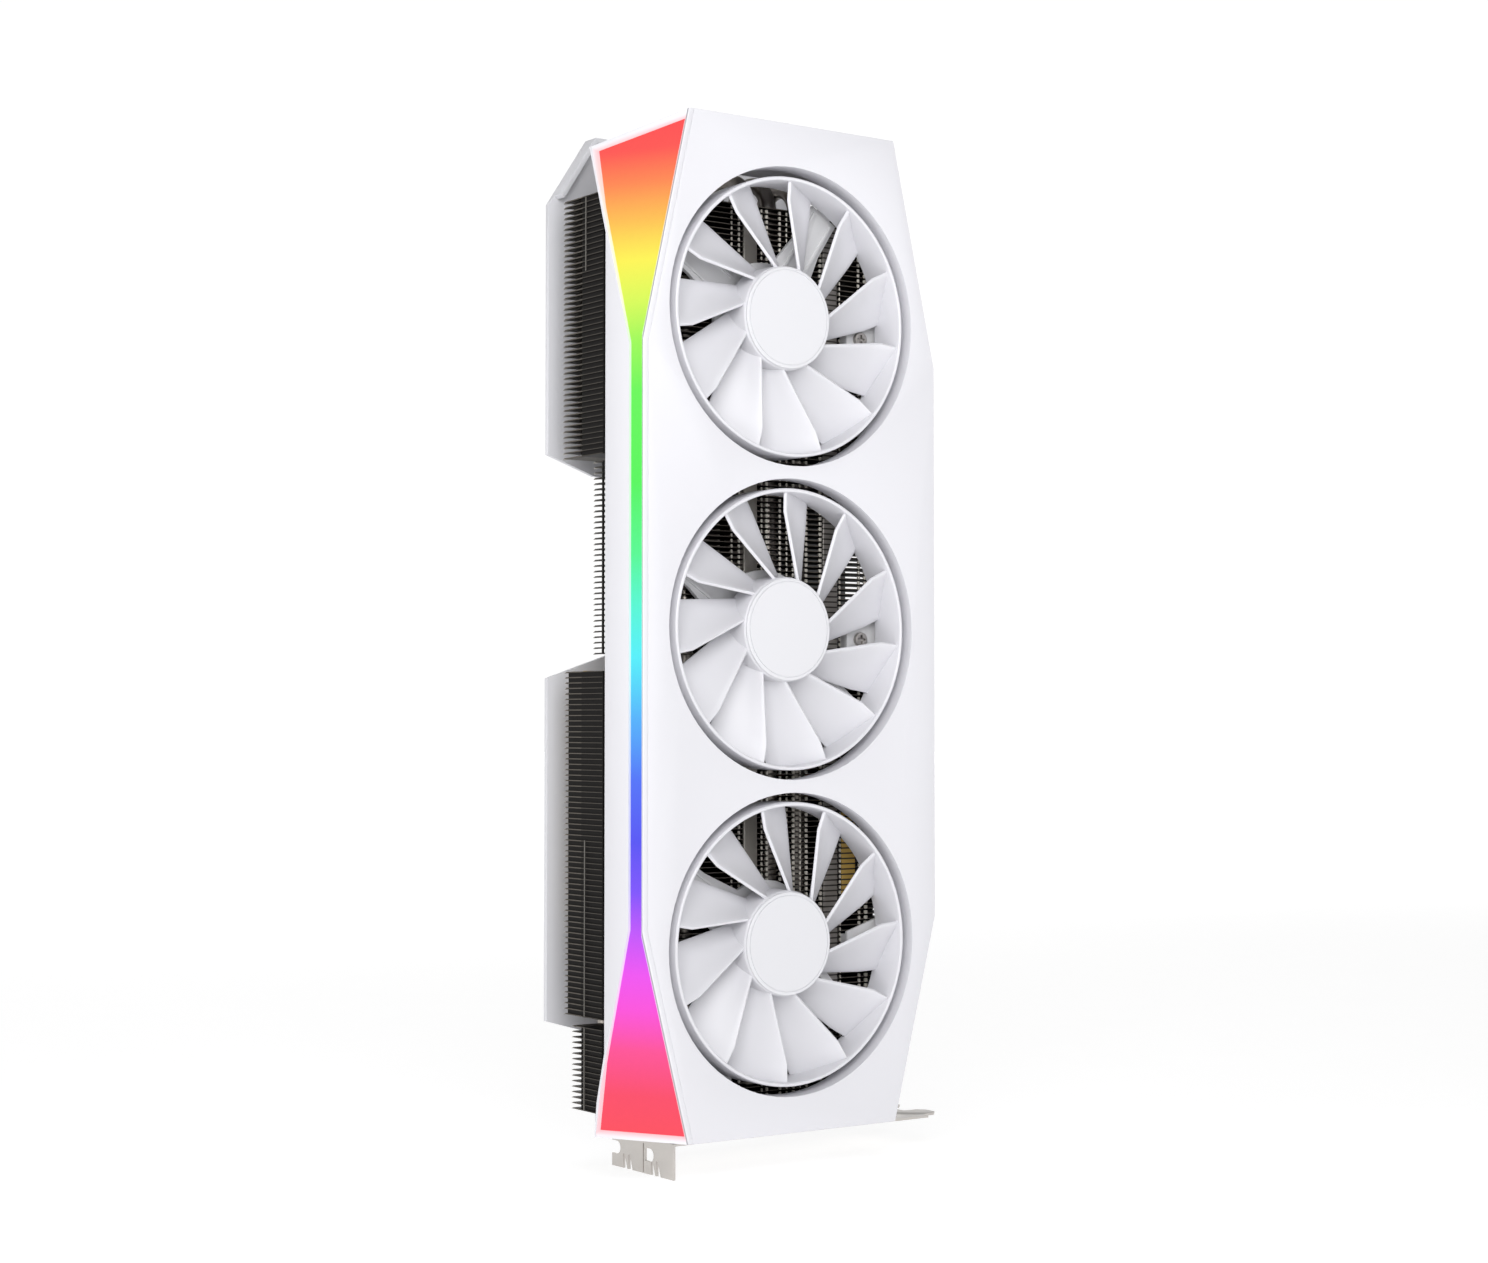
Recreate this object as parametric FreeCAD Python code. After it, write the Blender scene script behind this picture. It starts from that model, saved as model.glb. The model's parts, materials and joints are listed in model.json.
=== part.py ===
import FreeCAD, Part
import math
import os

from FreeCAD import Vector as V

os.makedirs("parts", exist_ok=True)

# ---------------------------------------------------------------- driving sizes (mm)
# Depth runs from the front face of the shroud towards the backplate.
# X is across the card, Z runs along it from the outer face of the bracket.
fan_pitch = 107.3
fan_middle_z = 176.0
ring_outer_r = 48.3
ring_gap = 3.2
fan_hole_r = ring_outer_r + ring_gap
ring_wall = 1.4
ring_front = 1.0
ring_depth = 14.0
blade_count = 11
blade_thickness = 1.3
hub_r = 18.0
hub_front = 3.2
hub_back = 15.0

half_width = 61.8
end_half_width = 43.5
shroud_bottom_z = 5.0
shroud_top_z = 349.6
tail_slope = 0.285
taper_bottom_z = 76.0
taper_top_z = 270.0
shroud_wall = 2.2
side_depth = 23.3
end_side_depth = 33.8
side_flare_bottom_z = 34.0
side_flare_length = 40.6
side_flare_top_z = shroud_top_z - side_flare_length

light_band_depth = 8.7
light_border = 4.0
light_front_border = 1.0
light_thickness = 2.0
strip_gap = 0.85

fin_pitch = 1.86
fin_thickness = 0.4
fin_side_gap = 3.3
fin_trim_gap = 0.1
fin_half_width = half_width - fin_side_gap
fin_corner = 5.5
fin_corner_depth = 9.0
fin_front = 21.5
fin_core_back = 53.5
fin_tail_back = 54.9
fin_power_back = 35.0
fin_end_back = 48.3
pipe_r = 3.0
pipe_front_depth = 29.0
pipe_x = (-44.0, -26.0, 0.4, 9.8, 22.2, 36.5)
pipe_clearance = 0.1
pipe_tail_gap = 0.1
low_bend_x = pipe_x[:2]
tail_bend_x = pipe_x[2:]

plate_thickness = 2.5
gpu_x = 16.0
gpu_z = 112.0
gpu_package = 45.0
gpu_die_x = 22.0
gpu_die_z = 17.0

pcb_front = 59.4
pcb_thickness = 1.6
pcb_x_low = -35.0
pcb_x_high = 67.75
pcb_edge_x = 76.0
pcb_length = 236.0
finger_start_z = 44.6
finger_end_z = 129.75
key_notch_z = 57.15
key_notch_width = 1.9

socket_pitch = 19.5
socket_width = 18.6
socket_height = 13.2
socket_length = 21.0
socket_mouth_x = -33.0
socket_middle_z = 199.5
pin_pitch = 4.2
pin_cell = 3.4

backplate_gap = 7.0
backplate_thickness = 2.0
backplate_half_width = 57.2
backplate_overhang = 1.7
backplate_corner_length = 23.1
flange_depth = 5.0

bracket_thickness = 0.86
bracket_width = 38.7
bracket_board_step = 4.3
bracket_tab_x = -32.0
bracket_length = 120.02
bracket_tab_length = 11.43
slot_pitch = 20.32
tongue_width = 10.2
tongue_length = 8.0

hub_wall = 1.6
kink_inset = 7.8
stator_clearance = 4.0
frame_hub_overlap = 3.0
seat_offset = 4.1
arm_half_width = 6.0

running_clearance = 0.04
part_gap = 0.3

# ---------------------------------------------------------------- values that follow
bracket_back = pcb_front + bracket_board_step
bracket_front = bracket_back - bracket_width
origin_depth = bracket_front + bracket_width / 2.0
fan_centres = [fan_middle_z - fan_pitch, fan_middle_z, fan_middle_z + fan_pitch]
pcb_back = pcb_front + pcb_thickness
backplate_front = pcb_back + backplate_gap
backplate_back = backplate_front + backplate_thickness
pipe_base_depth = fin_core_back - pipe_r
bend_r = (pipe_base_depth - pipe_front_depth) / 2.0
bend_outer_r = bend_r + pipe_r
bend_rise = math.sqrt(bend_outer_r ** 2 - (pipe_front_depth + bend_r - end_side_depth) ** 2)
tail_wall_z = shroud_top_z - tail_slope * end_side_depth - shroud_wall * math.hypot(1, tail_slope)
tail_bend_z = tail_wall_z - bend_rise - pipe_tail_gap
tongue_tip_x = bracket_tab_x - bracket_thickness + bracket_length
far = 400.0


# ---------------------------------------------------------------- shape helpers
def box(x0, x1, d0, d1, z0, z1):
    return Part.makeBox(x1 - x0, d1 - d0, z1 - z0, V(x0, d0, z0))


def disc(x, z, r, d0, d1):
    return Part.makeCylinder(r, d1 - d0, V(x, d0, z), V(0, 1, 0))


def rod_z(x, d, r, z0, z1):
    return Part.makeCylinder(r, z1 - z0, V(x, d, z0), V(0, 0, 1))


def prism(points, direction):
    wire = Part.makePolygon(points + [points[0]])
    return Part.Face(wire).extrude(direction)


def prism_depth(xz, d0, d1):
    return prism([V(x, d0, z) for x, z in xz], V(0, d1 - d0, 0))


def prism_x(dz, x0, x1):
    return prism([V(x0, d, z) for d, z in dz], V(x1 - x0, 0, 0))


def prism_z(xd, z0, z1):
    return prism([V(x, d, z0) for x, d in xd], V(0, 0, z1 - z0))


def joined(shapes):
    result = shapes[0]
    if len(shapes) > 1:
        result = result.fuse(shapes[1:])
    return result.removeSplitter()


def save(shape, name):
    placed = shape.copy()
    placed.translate(V(0, -origin_depth, 0))
    placed.exportStep("parts/" + name + ".step")
    print(name, len(placed.Solids), round(placed.Volume, 1), placed.isValid())


def group(shapes, name):
    save(Part.makeCompound(shapes), name)


def cut_beyond(shape, point, normal):
    big = Part.makeBox(2 * far, 2 * far, far, V(-far, -far, 0))
    turn = FreeCAD.Rotation(V(0, 0, 1), normal)
    big.Placement = FreeCAD.Placement(point, turn)
    return shape.cut(big)


# ---------------------------------------------------------------- shroud envelope
def facet(side, end):
    z_taper = taper_top_z if end > 0 else taper_bottom_z
    z_end = shroud_top_z if end > 0 else shroud_bottom_z
    corner_z = z_end - tail_slope * end_side_depth if end > 0 else z_end
    a = V(side * half_width, 0, z_taper)
    b = V(side * end_half_width, 0, z_end)
    c = V(side * half_width, end_side_depth, corner_z)
    normal = (b - a).cross(c - a).normalize()
    if normal.x * side < 0:
        normal = normal * -1
    return a, normal


tail_normal = V(0, tail_slope, 1).normalize()


def envelope(inset, back):
    w = half_width - inset
    body = box(-w, w, inset, back, shroud_bottom_z + inset, shroud_top_z + 20)
    for side in (-1, 1):
        for end in (-1, 1):
            point, normal = facet(side, end)
            body = cut_beyond(body, point - normal * inset, normal)
    top = V(0, 0, shroud_top_z) - tail_normal * inset
    return cut_beyond(body, top, tail_normal)


def skin(outer_inset, inner_inset, back):
    return envelope(outer_inset, back).cut(envelope(inner_inset, back + 1))


shroud_profile = [
    (-1, shroud_bottom_z - 1),
    (end_side_depth - 2.1, shroud_bottom_z - 1),
    (side_depth, side_flare_bottom_z),
    (side_depth, side_flare_top_z),
    (end_side_depth, shroud_top_z - tail_slope * end_side_depth),
    (end_side_depth, shroud_top_z + 1),
    (-1, shroud_top_z + 1),
]

tail_corner_z = shroud_top_z - tail_slope * end_side_depth


def light_region(border, front, x0, x1):
    band = light_band_depth - (1.4 if border > 0 else 0)
    top_back = end_side_depth - border
    bottom_back = end_side_depth - 2.1 - border * 0.75
    top_front_z = shroud_top_z - border
    top_back_z = tail_corner_z - border * 0.5
    bottom_z = shroud_bottom_z + border * 0.7
    edge = front if border > 0 else -1
    if border == 0:
        top_front_z = shroud_top_z + 2
        top_back_z = tail_corner_z + 2
        bottom_z = shroud_bottom_z - 2
    points = [
        (edge, bottom_z),
        (bottom_back, bottom_z),
        (band, taper_bottom_z),
        (band, taper_top_z),
        (top_back, top_back_z),
        (edge, top_front_z),
    ]
    return prism_x(points, x0, x1)


light_side = (-half_width - 1, -end_half_width + 8)
frame_zone = light_region(0, 0, light_side[0], light_side[1])
lens_zone = light_region(light_border, light_front_border, light_side[0], light_side[1])


def left_skin_slab():
    whole = envelope(0, 40)
    shifted = envelope(0, 60)
    shifted.translate(V(light_thickness, 0, 0))
    slab = whole.cut(shifted)
    keep = box(-half_width - 1, 0, -1, 40, 0, far)
    return slab.common(keep)


light_slab = left_skin_slab()
light_piece = light_slab.common(frame_zone)
light_lens = light_slab.common(lens_zone)
light_frame = light_piece.cut(lens_zone)

# ---------------------------------------------------------------- shroud
shroud = skin(0, shroud_wall, end_side_depth + 2)
shroud = shroud.common(prism_x(shroud_profile, -half_width - 1, half_width + 1))
for z in fan_centres:
    collar = disc(0, z, fan_hole_r + 1.5, 0.5, 8.0)
    shroud = shroud.fuse(collar)
for z in fan_centres:
    shroud = shroud.cut(disc(0, z, fan_hole_r, -1, 12))
shroud = shroud.cut(light_piece)
shroud = shroud.removeSplitter()

# seats behind the front plate for the fan frames and the small corner brackets
arm_angles = ((146.0, 250.0, 322.0), (146.0, 250.0, 322.0), (57.0, 146.0, 250.0, 322.0))
arm_depth = 17.6
arm_thickness = 2.0


def polar(r, angle, z):
    a = math.radians(angle)
    return r * math.cos(a), z + r * math.sin(a)


seat_screw_r = fan_hole_r + seat_offset

seat_points = []
for z, angles in zip(fan_centres, arm_angles):
    for angle in angles:
        x, zz = polar(seat_screw_r, angle, z)
        seat_points.append((x, zz))

# Each fan frame ends on posts that stand behind the front plate, clear of the next hole.
post_r = 2.6
posts = []
for x, zz in seat_points:
    posts.append(disc(x, zz, post_r, shroud_wall - 0.2, arm_depth))
for z in fan_centres:
    clear = disc(0, z, fan_hole_r, -1, arm_depth + 1)
    posts = [p.cut(clear) for p in posts]
shroud = shroud.fuse(posts).removeSplitter()
for x, zz in seat_points:
    shroud = shroud.cut(disc(x, zz, 0.9, arm_depth - 6, arm_depth + 0.1))

tab_post_width = 6.3
tab_half_height = 6.0
tab_depth = 17.4
wall_inset = 1.0
tab_points = []
for z in fan_centres:
    for side in (-1, 1):
        tab_points.append((side, z))
tab_posts = []
for side, z in tab_points:
    outer_x = half_width - wall_inset
    x0 = min(side * (outer_x - tab_post_width), side * outer_x)
    start = light_band_depth + 0.4 if side < 0 else 1.5
    tab_post = box(x0, x0 + tab_post_width, start, tab_depth, z - tab_half_height, z + tab_half_height)
    tab_posts.append(tab_post.common(envelope(wall_inset, tab_depth)))
shroud = shroud.fuse(tab_posts)
shroud = shroud.cut(light_piece.fuse(light_lens)).removeSplitter()
save(shroud, "shroud")
save(light_frame, "light_frame")
save(light_lens, "light_lens")

# flexible strip of light emitters behind the lens
wall_run = max(shroud_wall / abs(facet(-1, end)[1].x) for end in (-1, 1))
strip_shift = max(light_thickness, wall_run) + strip_gap
outer_shift = envelope(0, 60)
outer_shift.translate(V(strip_shift, 0, 0))
inner_shift = envelope(0, 60)
inner_shift.translate(V(strip_shift + 0.6, 0, 0))
strip_low_z = shroud_bottom_z + 9.0
strip_high_z = shroud_top_z - 13.6
strip_zone = prism_x([(3.0, strip_low_z), (6.4, strip_low_z), (6.4, strip_high_z), (3.0, strip_high_z)], -half_width, -20)
strip = outer_shift.cut(inner_shift).common(strip_zone)
strip = strip.common(box(-half_width, -20, -1, 40, 0, far))
emitters = []
strip_pitch = 12.0
for index in range(int((strip_high_z - strip_low_z - 3.0) / strip_pitch)):
    z = strip_low_z + 6.0 + index * strip_pitch
    spot = box(-half_width, -20, 3.6, 5.8, z, z + 3.0)
    emitters.append(spot)
raised = envelope(0, 60)
raised.translate(V(strip_shift - 0.8, 0, 0))
raised = raised.cut(outer_shift).common(Part.makeCompound(emitters))
strip = strip.fuse(raised.Solids).removeSplitter()
save(strip, "light_strip")

# ---------------------------------------------------------------- fans
ring_angles = (104.8, 92.7, 90.3)
shaft_r = 1.5
bearing_r = 3.4
kink_r = ring_outer_r - kink_inset
stator_r = hub_r - hub_wall - stator_clearance


def blade_section(r, front_angle, front_depth, back_angle, back_depth, centre_z):
    middle = math.radians((front_angle + back_angle) / 2.0)
    half = math.radians((front_angle - back_angle) / 2.0)
    out = V(math.cos(middle), 0, math.sin(middle))
    side = V(-math.sin(middle), 0, math.cos(middle))
    depth = V(0, 1, 0)
    base = V(0, 0, centre_z) + out * (r * math.cos(half))
    reach = r * math.sin(half)
    front = base + side * reach + depth * front_depth
    back = base - side * reach + depth * back_depth
    run = back - front
    chord = run.Length
    run.normalize()
    up = out.cross(run).normalize()
    if up.y > 0:
        up = up * -1
    t = blade_thickness / 2.0
    camber = -0.07 * chord
    points = []
    for share, bow, half_t in ((0.0, 0.0, 0.45), (0.3, 0.85, 1.0), (0.65, 0.85, 1.0), (1.0, 0.0, 0.5)):
        points.append(front + run * (share * chord) + up * (bow * camber + t * half_t))
    for share, bow, half_t in ((1.0, 0.0, 0.5), (0.65, 0.85, 1.0), (0.3, 0.85, 1.0), (0.0, 0.0, 0.45)):
        points.append(front + run * (share * chord) + up * (bow * camber - t * half_t))
    return Part.makePolygon(points + [points[0]])


def blade(ring_angle, centre_z):
    sections = [
        blade_section(hub_r - 1.2, ring_angle - 21.5, 5.0, ring_angle - 49.0, 14.0, centre_z),
        blade_section(kink_r, ring_angle, 3.0, ring_angle - 24.5, 14.2, centre_z),
        blade_section(ring_outer_r + 1.4, ring_angle, 2.2, ring_angle - 20.5, 13.6, centre_z),
    ]
    return Part.makeLoft(sections, True, True)


def fan_rotor(centre_z, ring_angle):
    back = ring_front + ring_depth
    middle_r = ring_outer_r - ring_wall / 2.0
    blades = []
    reach = disc(0, centre_z, middle_r, -1, 20).cut(disc(0, centre_z, hub_r - 0.8, -1, 20))
    for index in range(blade_count):
        piece = blade(ring_angle + index * 360.0 / blade_count, centre_z)
        blades.append(piece.common(reach))
    ring = disc(0, centre_z, ring_outer_r, ring_front, back)
    ring = ring.cut(disc(0, centre_z, ring_outer_r - ring_wall, ring_front - 1, back + 1))
    hub = disc(0, centre_z, hub_r, hub_front + 0.8, hub_back)
    hub = hub.cut(disc(0, centre_z, hub_r - hub_wall, hub_front + 2.4, hub_back + 1))
    hub = hub.cut(disc(0, centre_z, shaft_r, hub_front, hub_front + 4))
    return joined([ring, hub] + blades)


def hub_cap(centre_z):
    cap = disc(0, centre_z, hub_r - 0.4, hub_front, hub_front + 0.8)
    groove = disc(0, centre_z, hub_r - 1.5, hub_front - 1, hub_front + 0.2)
    groove = groove.cut(disc(0, centre_z, hub_r - 1.9, hub_front - 2, hub_front + 1))
    return cap.cut(groove)


def fan_shaft(centre_z):
    return disc(0, centre_z, shaft_r, hub_front + 0.8, arm_depth - 0.2)


def bearing(centre_z):
    sleeve = disc(0, centre_z, bearing_r, hub_front + 4.0, arm_depth)
    return sleeve.cut(disc(0, centre_z, shaft_r + running_clearance, hub_front, arm_depth + 1))


def stator(centre_z):
    core = disc(0, centre_z, 5.2, hub_front + 4.4, arm_depth)
    for index in range(6):
        pole = box(4.4, stator_r - 1.4, hub_front + 6.2, hub_front + 9.4, centre_z - 1.2, centre_z + 1.2)
        shoe = box(stator_r - 1.8, stator_r, hub_front + 5.4, hub_front + 10.2, centre_z - 4.0, centre_z + 4.0)
        arm = pole.fuse(shoe)
        arm.rotate(V(0, 0, centre_z), V(0, 1, 0), index * 60.0)
        core = core.fuse(arm)
    board = disc(0, centre_z, stator_r + 2.8, hub_back + 0.6, arm_depth)
    core = core.fuse(board)
    return core.cut(disc(0, centre_z, bearing_r, 0, arm_depth + 1)).removeSplitter()


def fan_frame(centre_z, angles):
    back = arm_depth + arm_thickness
    parts = [disc(0, centre_z, hub_r + frame_hub_overlap, arm_depth, back)]
    for angle in angles:
        arm = box(0, seat_screw_r, arm_depth, back, centre_z - arm_half_width, centre_z + arm_half_width)
        end = disc(seat_screw_r, centre_z, 3.2, arm_depth, back)
        neck = prism_depth(
            [
                (hub_r - 4.0, centre_z - arm_half_width - 3.5),
                (hub_r + 16.0, centre_z - arm_half_width),
                (hub_r + 16.0, centre_z + arm_half_width),
                (hub_r - 4.0, centre_z + arm_half_width + 3.5),
            ],
            arm_depth,
            back,
        )
        end_r = seat_screw_r - 7.6
        arm = arm.cut(box(end_r, seat_screw_r + 5, 0, 40, centre_z + 2.9, centre_z + 10))
        arm = arm.cut(box(end_r, seat_screw_r + 5, 0, 40, centre_z - 10, centre_z - 2.9))
        rib_a = box(hub_r + 2.0, end_r - 2.0, arm_depth - 0.8, arm_depth, centre_z + 3.6, centre_z + 4.6)
        rib_b = box(hub_r + 2.0, end_r - 2.0, arm_depth - 0.8, arm_depth, centre_z - 4.6, centre_z - 3.6)
        whole = arm.fuse([end, neck, rib_a, rib_b])
        whole.rotate(V(0, 0, centre_z), V(0, 1, 0), -angle)
        parts.append(whole)
    frame = parts[0].fuse(parts[1:])
    for angle in angles:
        x, zz = polar(seat_screw_r, angle, centre_z)
        frame = frame.cut(disc(x, zz, 1.1, arm_depth - 2, back + 1))
    return frame.removeSplitter()


def fan_frame_screw(x, z):
    back = arm_depth + arm_thickness
    head = disc(x, z, 2.0, back, back + 1.2)
    shank = disc(x, z, 0.9, arm_depth - 5.0, back)
    return head.fuse(shank).removeSplitter()


fan_names = ("bracket_end", "middle", "tail")
for name, z, ring_angle, angles in zip(fan_names, fan_centres, ring_angles, arm_angles):
    save(fan_rotor(z, ring_angle), "fan_rotor_" + name)
    save(hub_cap(z), "hub_cap_" + name)
    save(fan_shaft(z), "fan_shaft_" + name)
    save(bearing(z), "fan_bearing_" + name)
    save(stator(z), "fan_stator_" + name)
    save(fan_frame(z, angles), "fan_frame_" + name)
group([fan_frame_screw(x, z) for x, z in seat_points], "fan_screws")

# small flat brackets that hold the shroud to the fins, with their screws
tab_length = 22.4
tab_outer_x = half_width - 3.4
tab_inner_x = tab_outer_x - tab_length
tab_screw_x = tab_inner_x + 5.5
tab_shoulder_x = tab_inner_x + 14.0
tab_thickness = 1.2
tab_plates = []
tab_screws = []
for side, z in tab_points:
    outline = [
        (side * tab_outer_x, z - tab_half_height),
        (side * tab_outer_x, z + tab_half_height),
        (side * tab_shoulder_x, z + tab_half_height),
        (side * tab_inner_x, z + 1.5),
        (side * tab_inner_x, z - 8.0),
        (side * tab_shoulder_x, z - tab_half_height),
    ]
    plate = prism_depth(outline, tab_depth, tab_depth + tab_thickness)
    lug_x0 = min(side * tab_inner_x, side * (tab_inner_x + 9))
    lug = box(lug_x0, lug_x0 + 9, tab_depth + tab_thickness, fin_front, z - 6.5, z + 0.5)
    plate = plate.fuse(lug)
    plate = plate.cut(disc(side * tab_screw_x, z - 2.5, 1.3, 10, 30))
    tab_plates.append(plate.removeSplitter())
    head = disc(side * tab_screw_x, z - 2.5, 2.6, tab_depth - 1.5, tab_depth)
    slot_a = box(side * tab_screw_x - 1.6, side * tab_screw_x + 1.6, tab_depth - 2, tab_depth - 0.6, z - 2.9, z - 2.1)
    slot_b = box(side * tab_screw_x - 0.4, side * tab_screw_x + 0.4, tab_depth - 2, tab_depth - 0.6, z - 4.1, z - 0.9)
    shank = disc(side * tab_screw_x, z - 2.5, 1.2, tab_depth, fin_front)
    tab_screws.append(head.cut(slot_a).cut(slot_b).fuse(shank).removeSplitter())
group(tab_plates, "shroud_brackets")
group(tab_screws, "shroud_bracket_screws")

# ---------------------------------------------------------------- fins and heat pipes
pipe_hole_r = pipe_r + pipe_clearance


def fin_face(back, z, half, holes_back):
    outer = Part.makePolygon(
        [
            V(-half + fin_corner, fin_front, z),
            V(half - fin_corner, fin_front, z),
            V(half, fin_front + fin_corner_depth, z),
            V(half, back, z),
            V(-half, back, z),
            V(-half, fin_front + fin_corner_depth, z),
            V(-half + fin_corner, fin_front, z),
        ]
    )
    wires = [outer]
    for x in pipe_x:
        wires.append(Part.Wire(Part.makeCircle(pipe_hole_r, V(x, pipe_front_depth, z), V(0, 0, 1))))
    face = Part.Face(outer)
    for wire in wires[1:]:
        face = face.cut(Part.Face(wire))
    if holes_back:
        for x in tail_bend_x:
            hole = Part.Face(Part.Wire(Part.makeCircle(pipe_hole_r, V(x, pipe_base_depth, z), V(0, 0, 1))))
            face = face.cut(hole)
    return face


def fin_stack(z0, z1, back, half, holes_back, flange_back):
    pattern = fin_face(back, 0, half, holes_back).Faces[0]
    plate = pattern.extrude(V(0, 0, fin_thickness))
    count = int(round((z1 - z0) / fin_pitch)) + 1
    plates = []
    for index in range(count):
        copy = plate.copy()
        copy.translate(V(0, 0, z0 + index * fin_pitch))
        plates.append(copy)
    top = z0 + (count - 1) * fin_pitch + fin_thickness
    strips = []
    for side in (-1, 1):
        edge = side * (half - 0.8)
        strips.append(box(edge - 0.2, edge + 0.2, fin_front + fin_corner_depth, flange_back, z0, top))
    return strips[0].fuse([strips[1]] + plates)


end_fins_z0 = 12.4
end_fins_z1 = 40.0
core_fins_z0 = 44.0
core_fins_z1 = 162.0
power_fins_z0 = 167.3
power_fins_z1 = 232.0
tail_fins_z0 = 235.2
tail_fins_z1 = tail_bend_z - 1.2
end_fins = fin_stack(end_fins_z0, end_fins_z1, fin_end_back, fin_half_width, False, 44.0)
bend_room = pipe_r + 0.5
low_bend_z = (end_fins_z1 + core_fins_z0) / 2.0 + 0.2
low_room_z = low_bend_z - bend_outer_r - 2.45
for x in low_bend_x:
    end_fins = end_fins.cut(box(x - bend_room, x + bend_room, fin_front + 3.0, 60, low_room_z, 60.0))
# the end block follows the sloping sides of the shroud wherever it lies inside them
inside = envelope(shroud_wall + fin_trim_gap, end_side_depth)
behind = box(-half_width, half_width, end_side_depth, end_side_depth + 60.0, end_fins_z0 - 5, end_fins_z1 + 5)
end_fins = end_fins.common(inside.fuse(behind))
save(end_fins, "fins_bracket_end")
core_fins = fin_stack(core_fins_z0, core_fins_z1, fin_core_back, fin_half_width, False, 52.8)
for x in pipe_x:
    core_fins = core_fins.cut(rod_z(x, pipe_base_depth, pipe_hole_r, core_fins_z0 - 1, core_fins_z1 + 2))
    slot = box(x - pipe_hole_r, x + pipe_hole_r, pipe_base_depth, fin_core_back + 1, core_fins_z0 - 1, core_fins_z1 + 2)
    core_fins = core_fins.cut(slot)
save(core_fins, "fins_core")
save(fin_stack(power_fins_z0, power_fins_z1, fin_power_back, fin_half_width, False, fin_front + fin_corner_depth + 1.0), "fins_power")
save(fin_stack(tail_fins_z0, tail_fins_z1, fin_tail_back, fin_half_width, True, 44.5), "fins_tail")


def heat_pipe(x):
    if x in low_bend_x:
        bend_z = low_bend_z
        front_end = tail_bend_z
        base_end = core_fins_z1 - 4.0
        sign = -1
    else:
        bend_z = tail_bend_z
        front_end = 18.0
        base_end = 74.0
        sign = 1
    front = Part.makeLine(V(x, pipe_front_depth, front_end), V(x, pipe_front_depth, bend_z))
    middle = V(x, pipe_front_depth + bend_r, bend_z + sign * bend_r)
    turn = Part.Arc(V(x, pipe_front_depth, bend_z), middle, V(x, pipe_base_depth, bend_z)).toShape()
    base = Part.makeLine(V(x, pipe_base_depth, bend_z), V(x, pipe_base_depth, base_end))
    path = Part.Wire([front, turn, base])
    profile = Part.Wire(Part.makeCircle(pipe_r, V(x, pipe_front_depth, front_end), V(0, 0, 1)))
    return path.makePipeShell([profile], True, False)


group([heat_pipe(x) for x in pipe_x], "heat_pipes")

# ---------------------------------------------------------------- plates, board and chips
cold_front = fin_core_back
cold_back = pcb_front - 2.6
cold_half_x = 31.0
cold_half_z = 30.0
window = 0.5
cold = box(gpu_x - cold_half_x, gpu_x + cold_half_x, cold_front, cold_back, gpu_z - cold_half_z, gpu_z + cold_half_z)
base = box(-50.0, 58.0, cold_front, cold_front + plate_thickness, 66.0, 162.0)
base = base.cut(
    box(
        gpu_x - cold_half_x - window,
        gpu_x + cold_half_x + window,
        cold_front - 1,
        cold_back + 1,
        gpu_z - cold_half_z - window,
        gpu_z + cold_half_z + window,
    )
)
retention_spots = [(gpu_x + sx * 36.0, gpu_z + sz * 36.0) for sx in (-1, 1) for sz in (-1, 1)]
for x, z in retention_spots:
    base = base.fuse(disc(x, z, 3.2, cold_front + plate_thickness, pcb_front))
    base = base.cut(disc(x, z, 1.3, cold_front + 0.8, pcb_front + 1))
save(cold, "cold_plate")
save(base.removeSplitter(), "memory_plate")

board = box(pcb_x_low, pcb_x_high, pcb_front, pcb_back, 1.4, pcb_length)
edge = box(pcb_x_high - 1, pcb_edge_x, pcb_front, pcb_back, finger_start_z, finger_end_z)
board = board.fuse(edge)
notch_low = key_notch_z - key_notch_width / 2.0
notch_high = key_notch_z + key_notch_width / 2.0
board = board.cut(box(pcb_x_high, pcb_edge_x + 1, pcb_front - 1, pcb_back + 1, notch_low, notch_high))
standoff_spots = [(-30.0, 30.0), (42.0, 30.0), (53.5, 158.0), (-30.0, 158.0), (53.5, 228.0), (-4.0, 228.0)]
for x, z in retention_spots:
    board = board.cut(disc(x, z, 1.6, pcb_front - 1, pcb_back + 1))
for x, z in standoff_spots:
    board = board.cut(disc(x, z, 1.3, pcb_front - 1, pcb_back + 1))
lug_spots = [(-27.0, 6.0), (62.0, 6.0)]
for x, z in lug_spots:
    board = board.cut(disc(x, z, 1.3, pcb_front - 1, pcb_back + 1))
save(board.removeSplitter(), "circuit_board")

contacts = []
contact_pitch = 1.0
contact_depth = 0.05
first = finger_start_z + 1.0
position = first
while position + 0.7 < finger_end_z - 0.6:
    clear_of_notch = position + 0.7 < notch_low - 0.3 or position > notch_high + 0.3
    if clear_of_notch:
        contacts.append(box(pcb_x_high + 2.4, pcb_edge_x - 0.4, pcb_front - contact_depth, pcb_front, position, position + 0.7))
        contacts.append(box(pcb_x_high + 2.4, pcb_edge_x - 0.4, pcb_back, pcb_back + contact_depth, position, position + 0.7))
    position = position + contact_pitch
group(contacts, "edge_contacts")

package = box(
    gpu_x - gpu_package / 2,
    gpu_x + gpu_package / 2,
    pcb_front - 1.6,
    pcb_front,
    gpu_z - gpu_package / 2,
    gpu_z + gpu_package / 2,
)
die = box(gpu_x - gpu_die_x / 2, gpu_x + gpu_die_x / 2, cold_back, pcb_front - 1.6, gpu_z - gpu_die_z / 2, gpu_z + gpu_die_z / 2)
save(package, "chip_package")
save(die, "chip_die")

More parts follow.
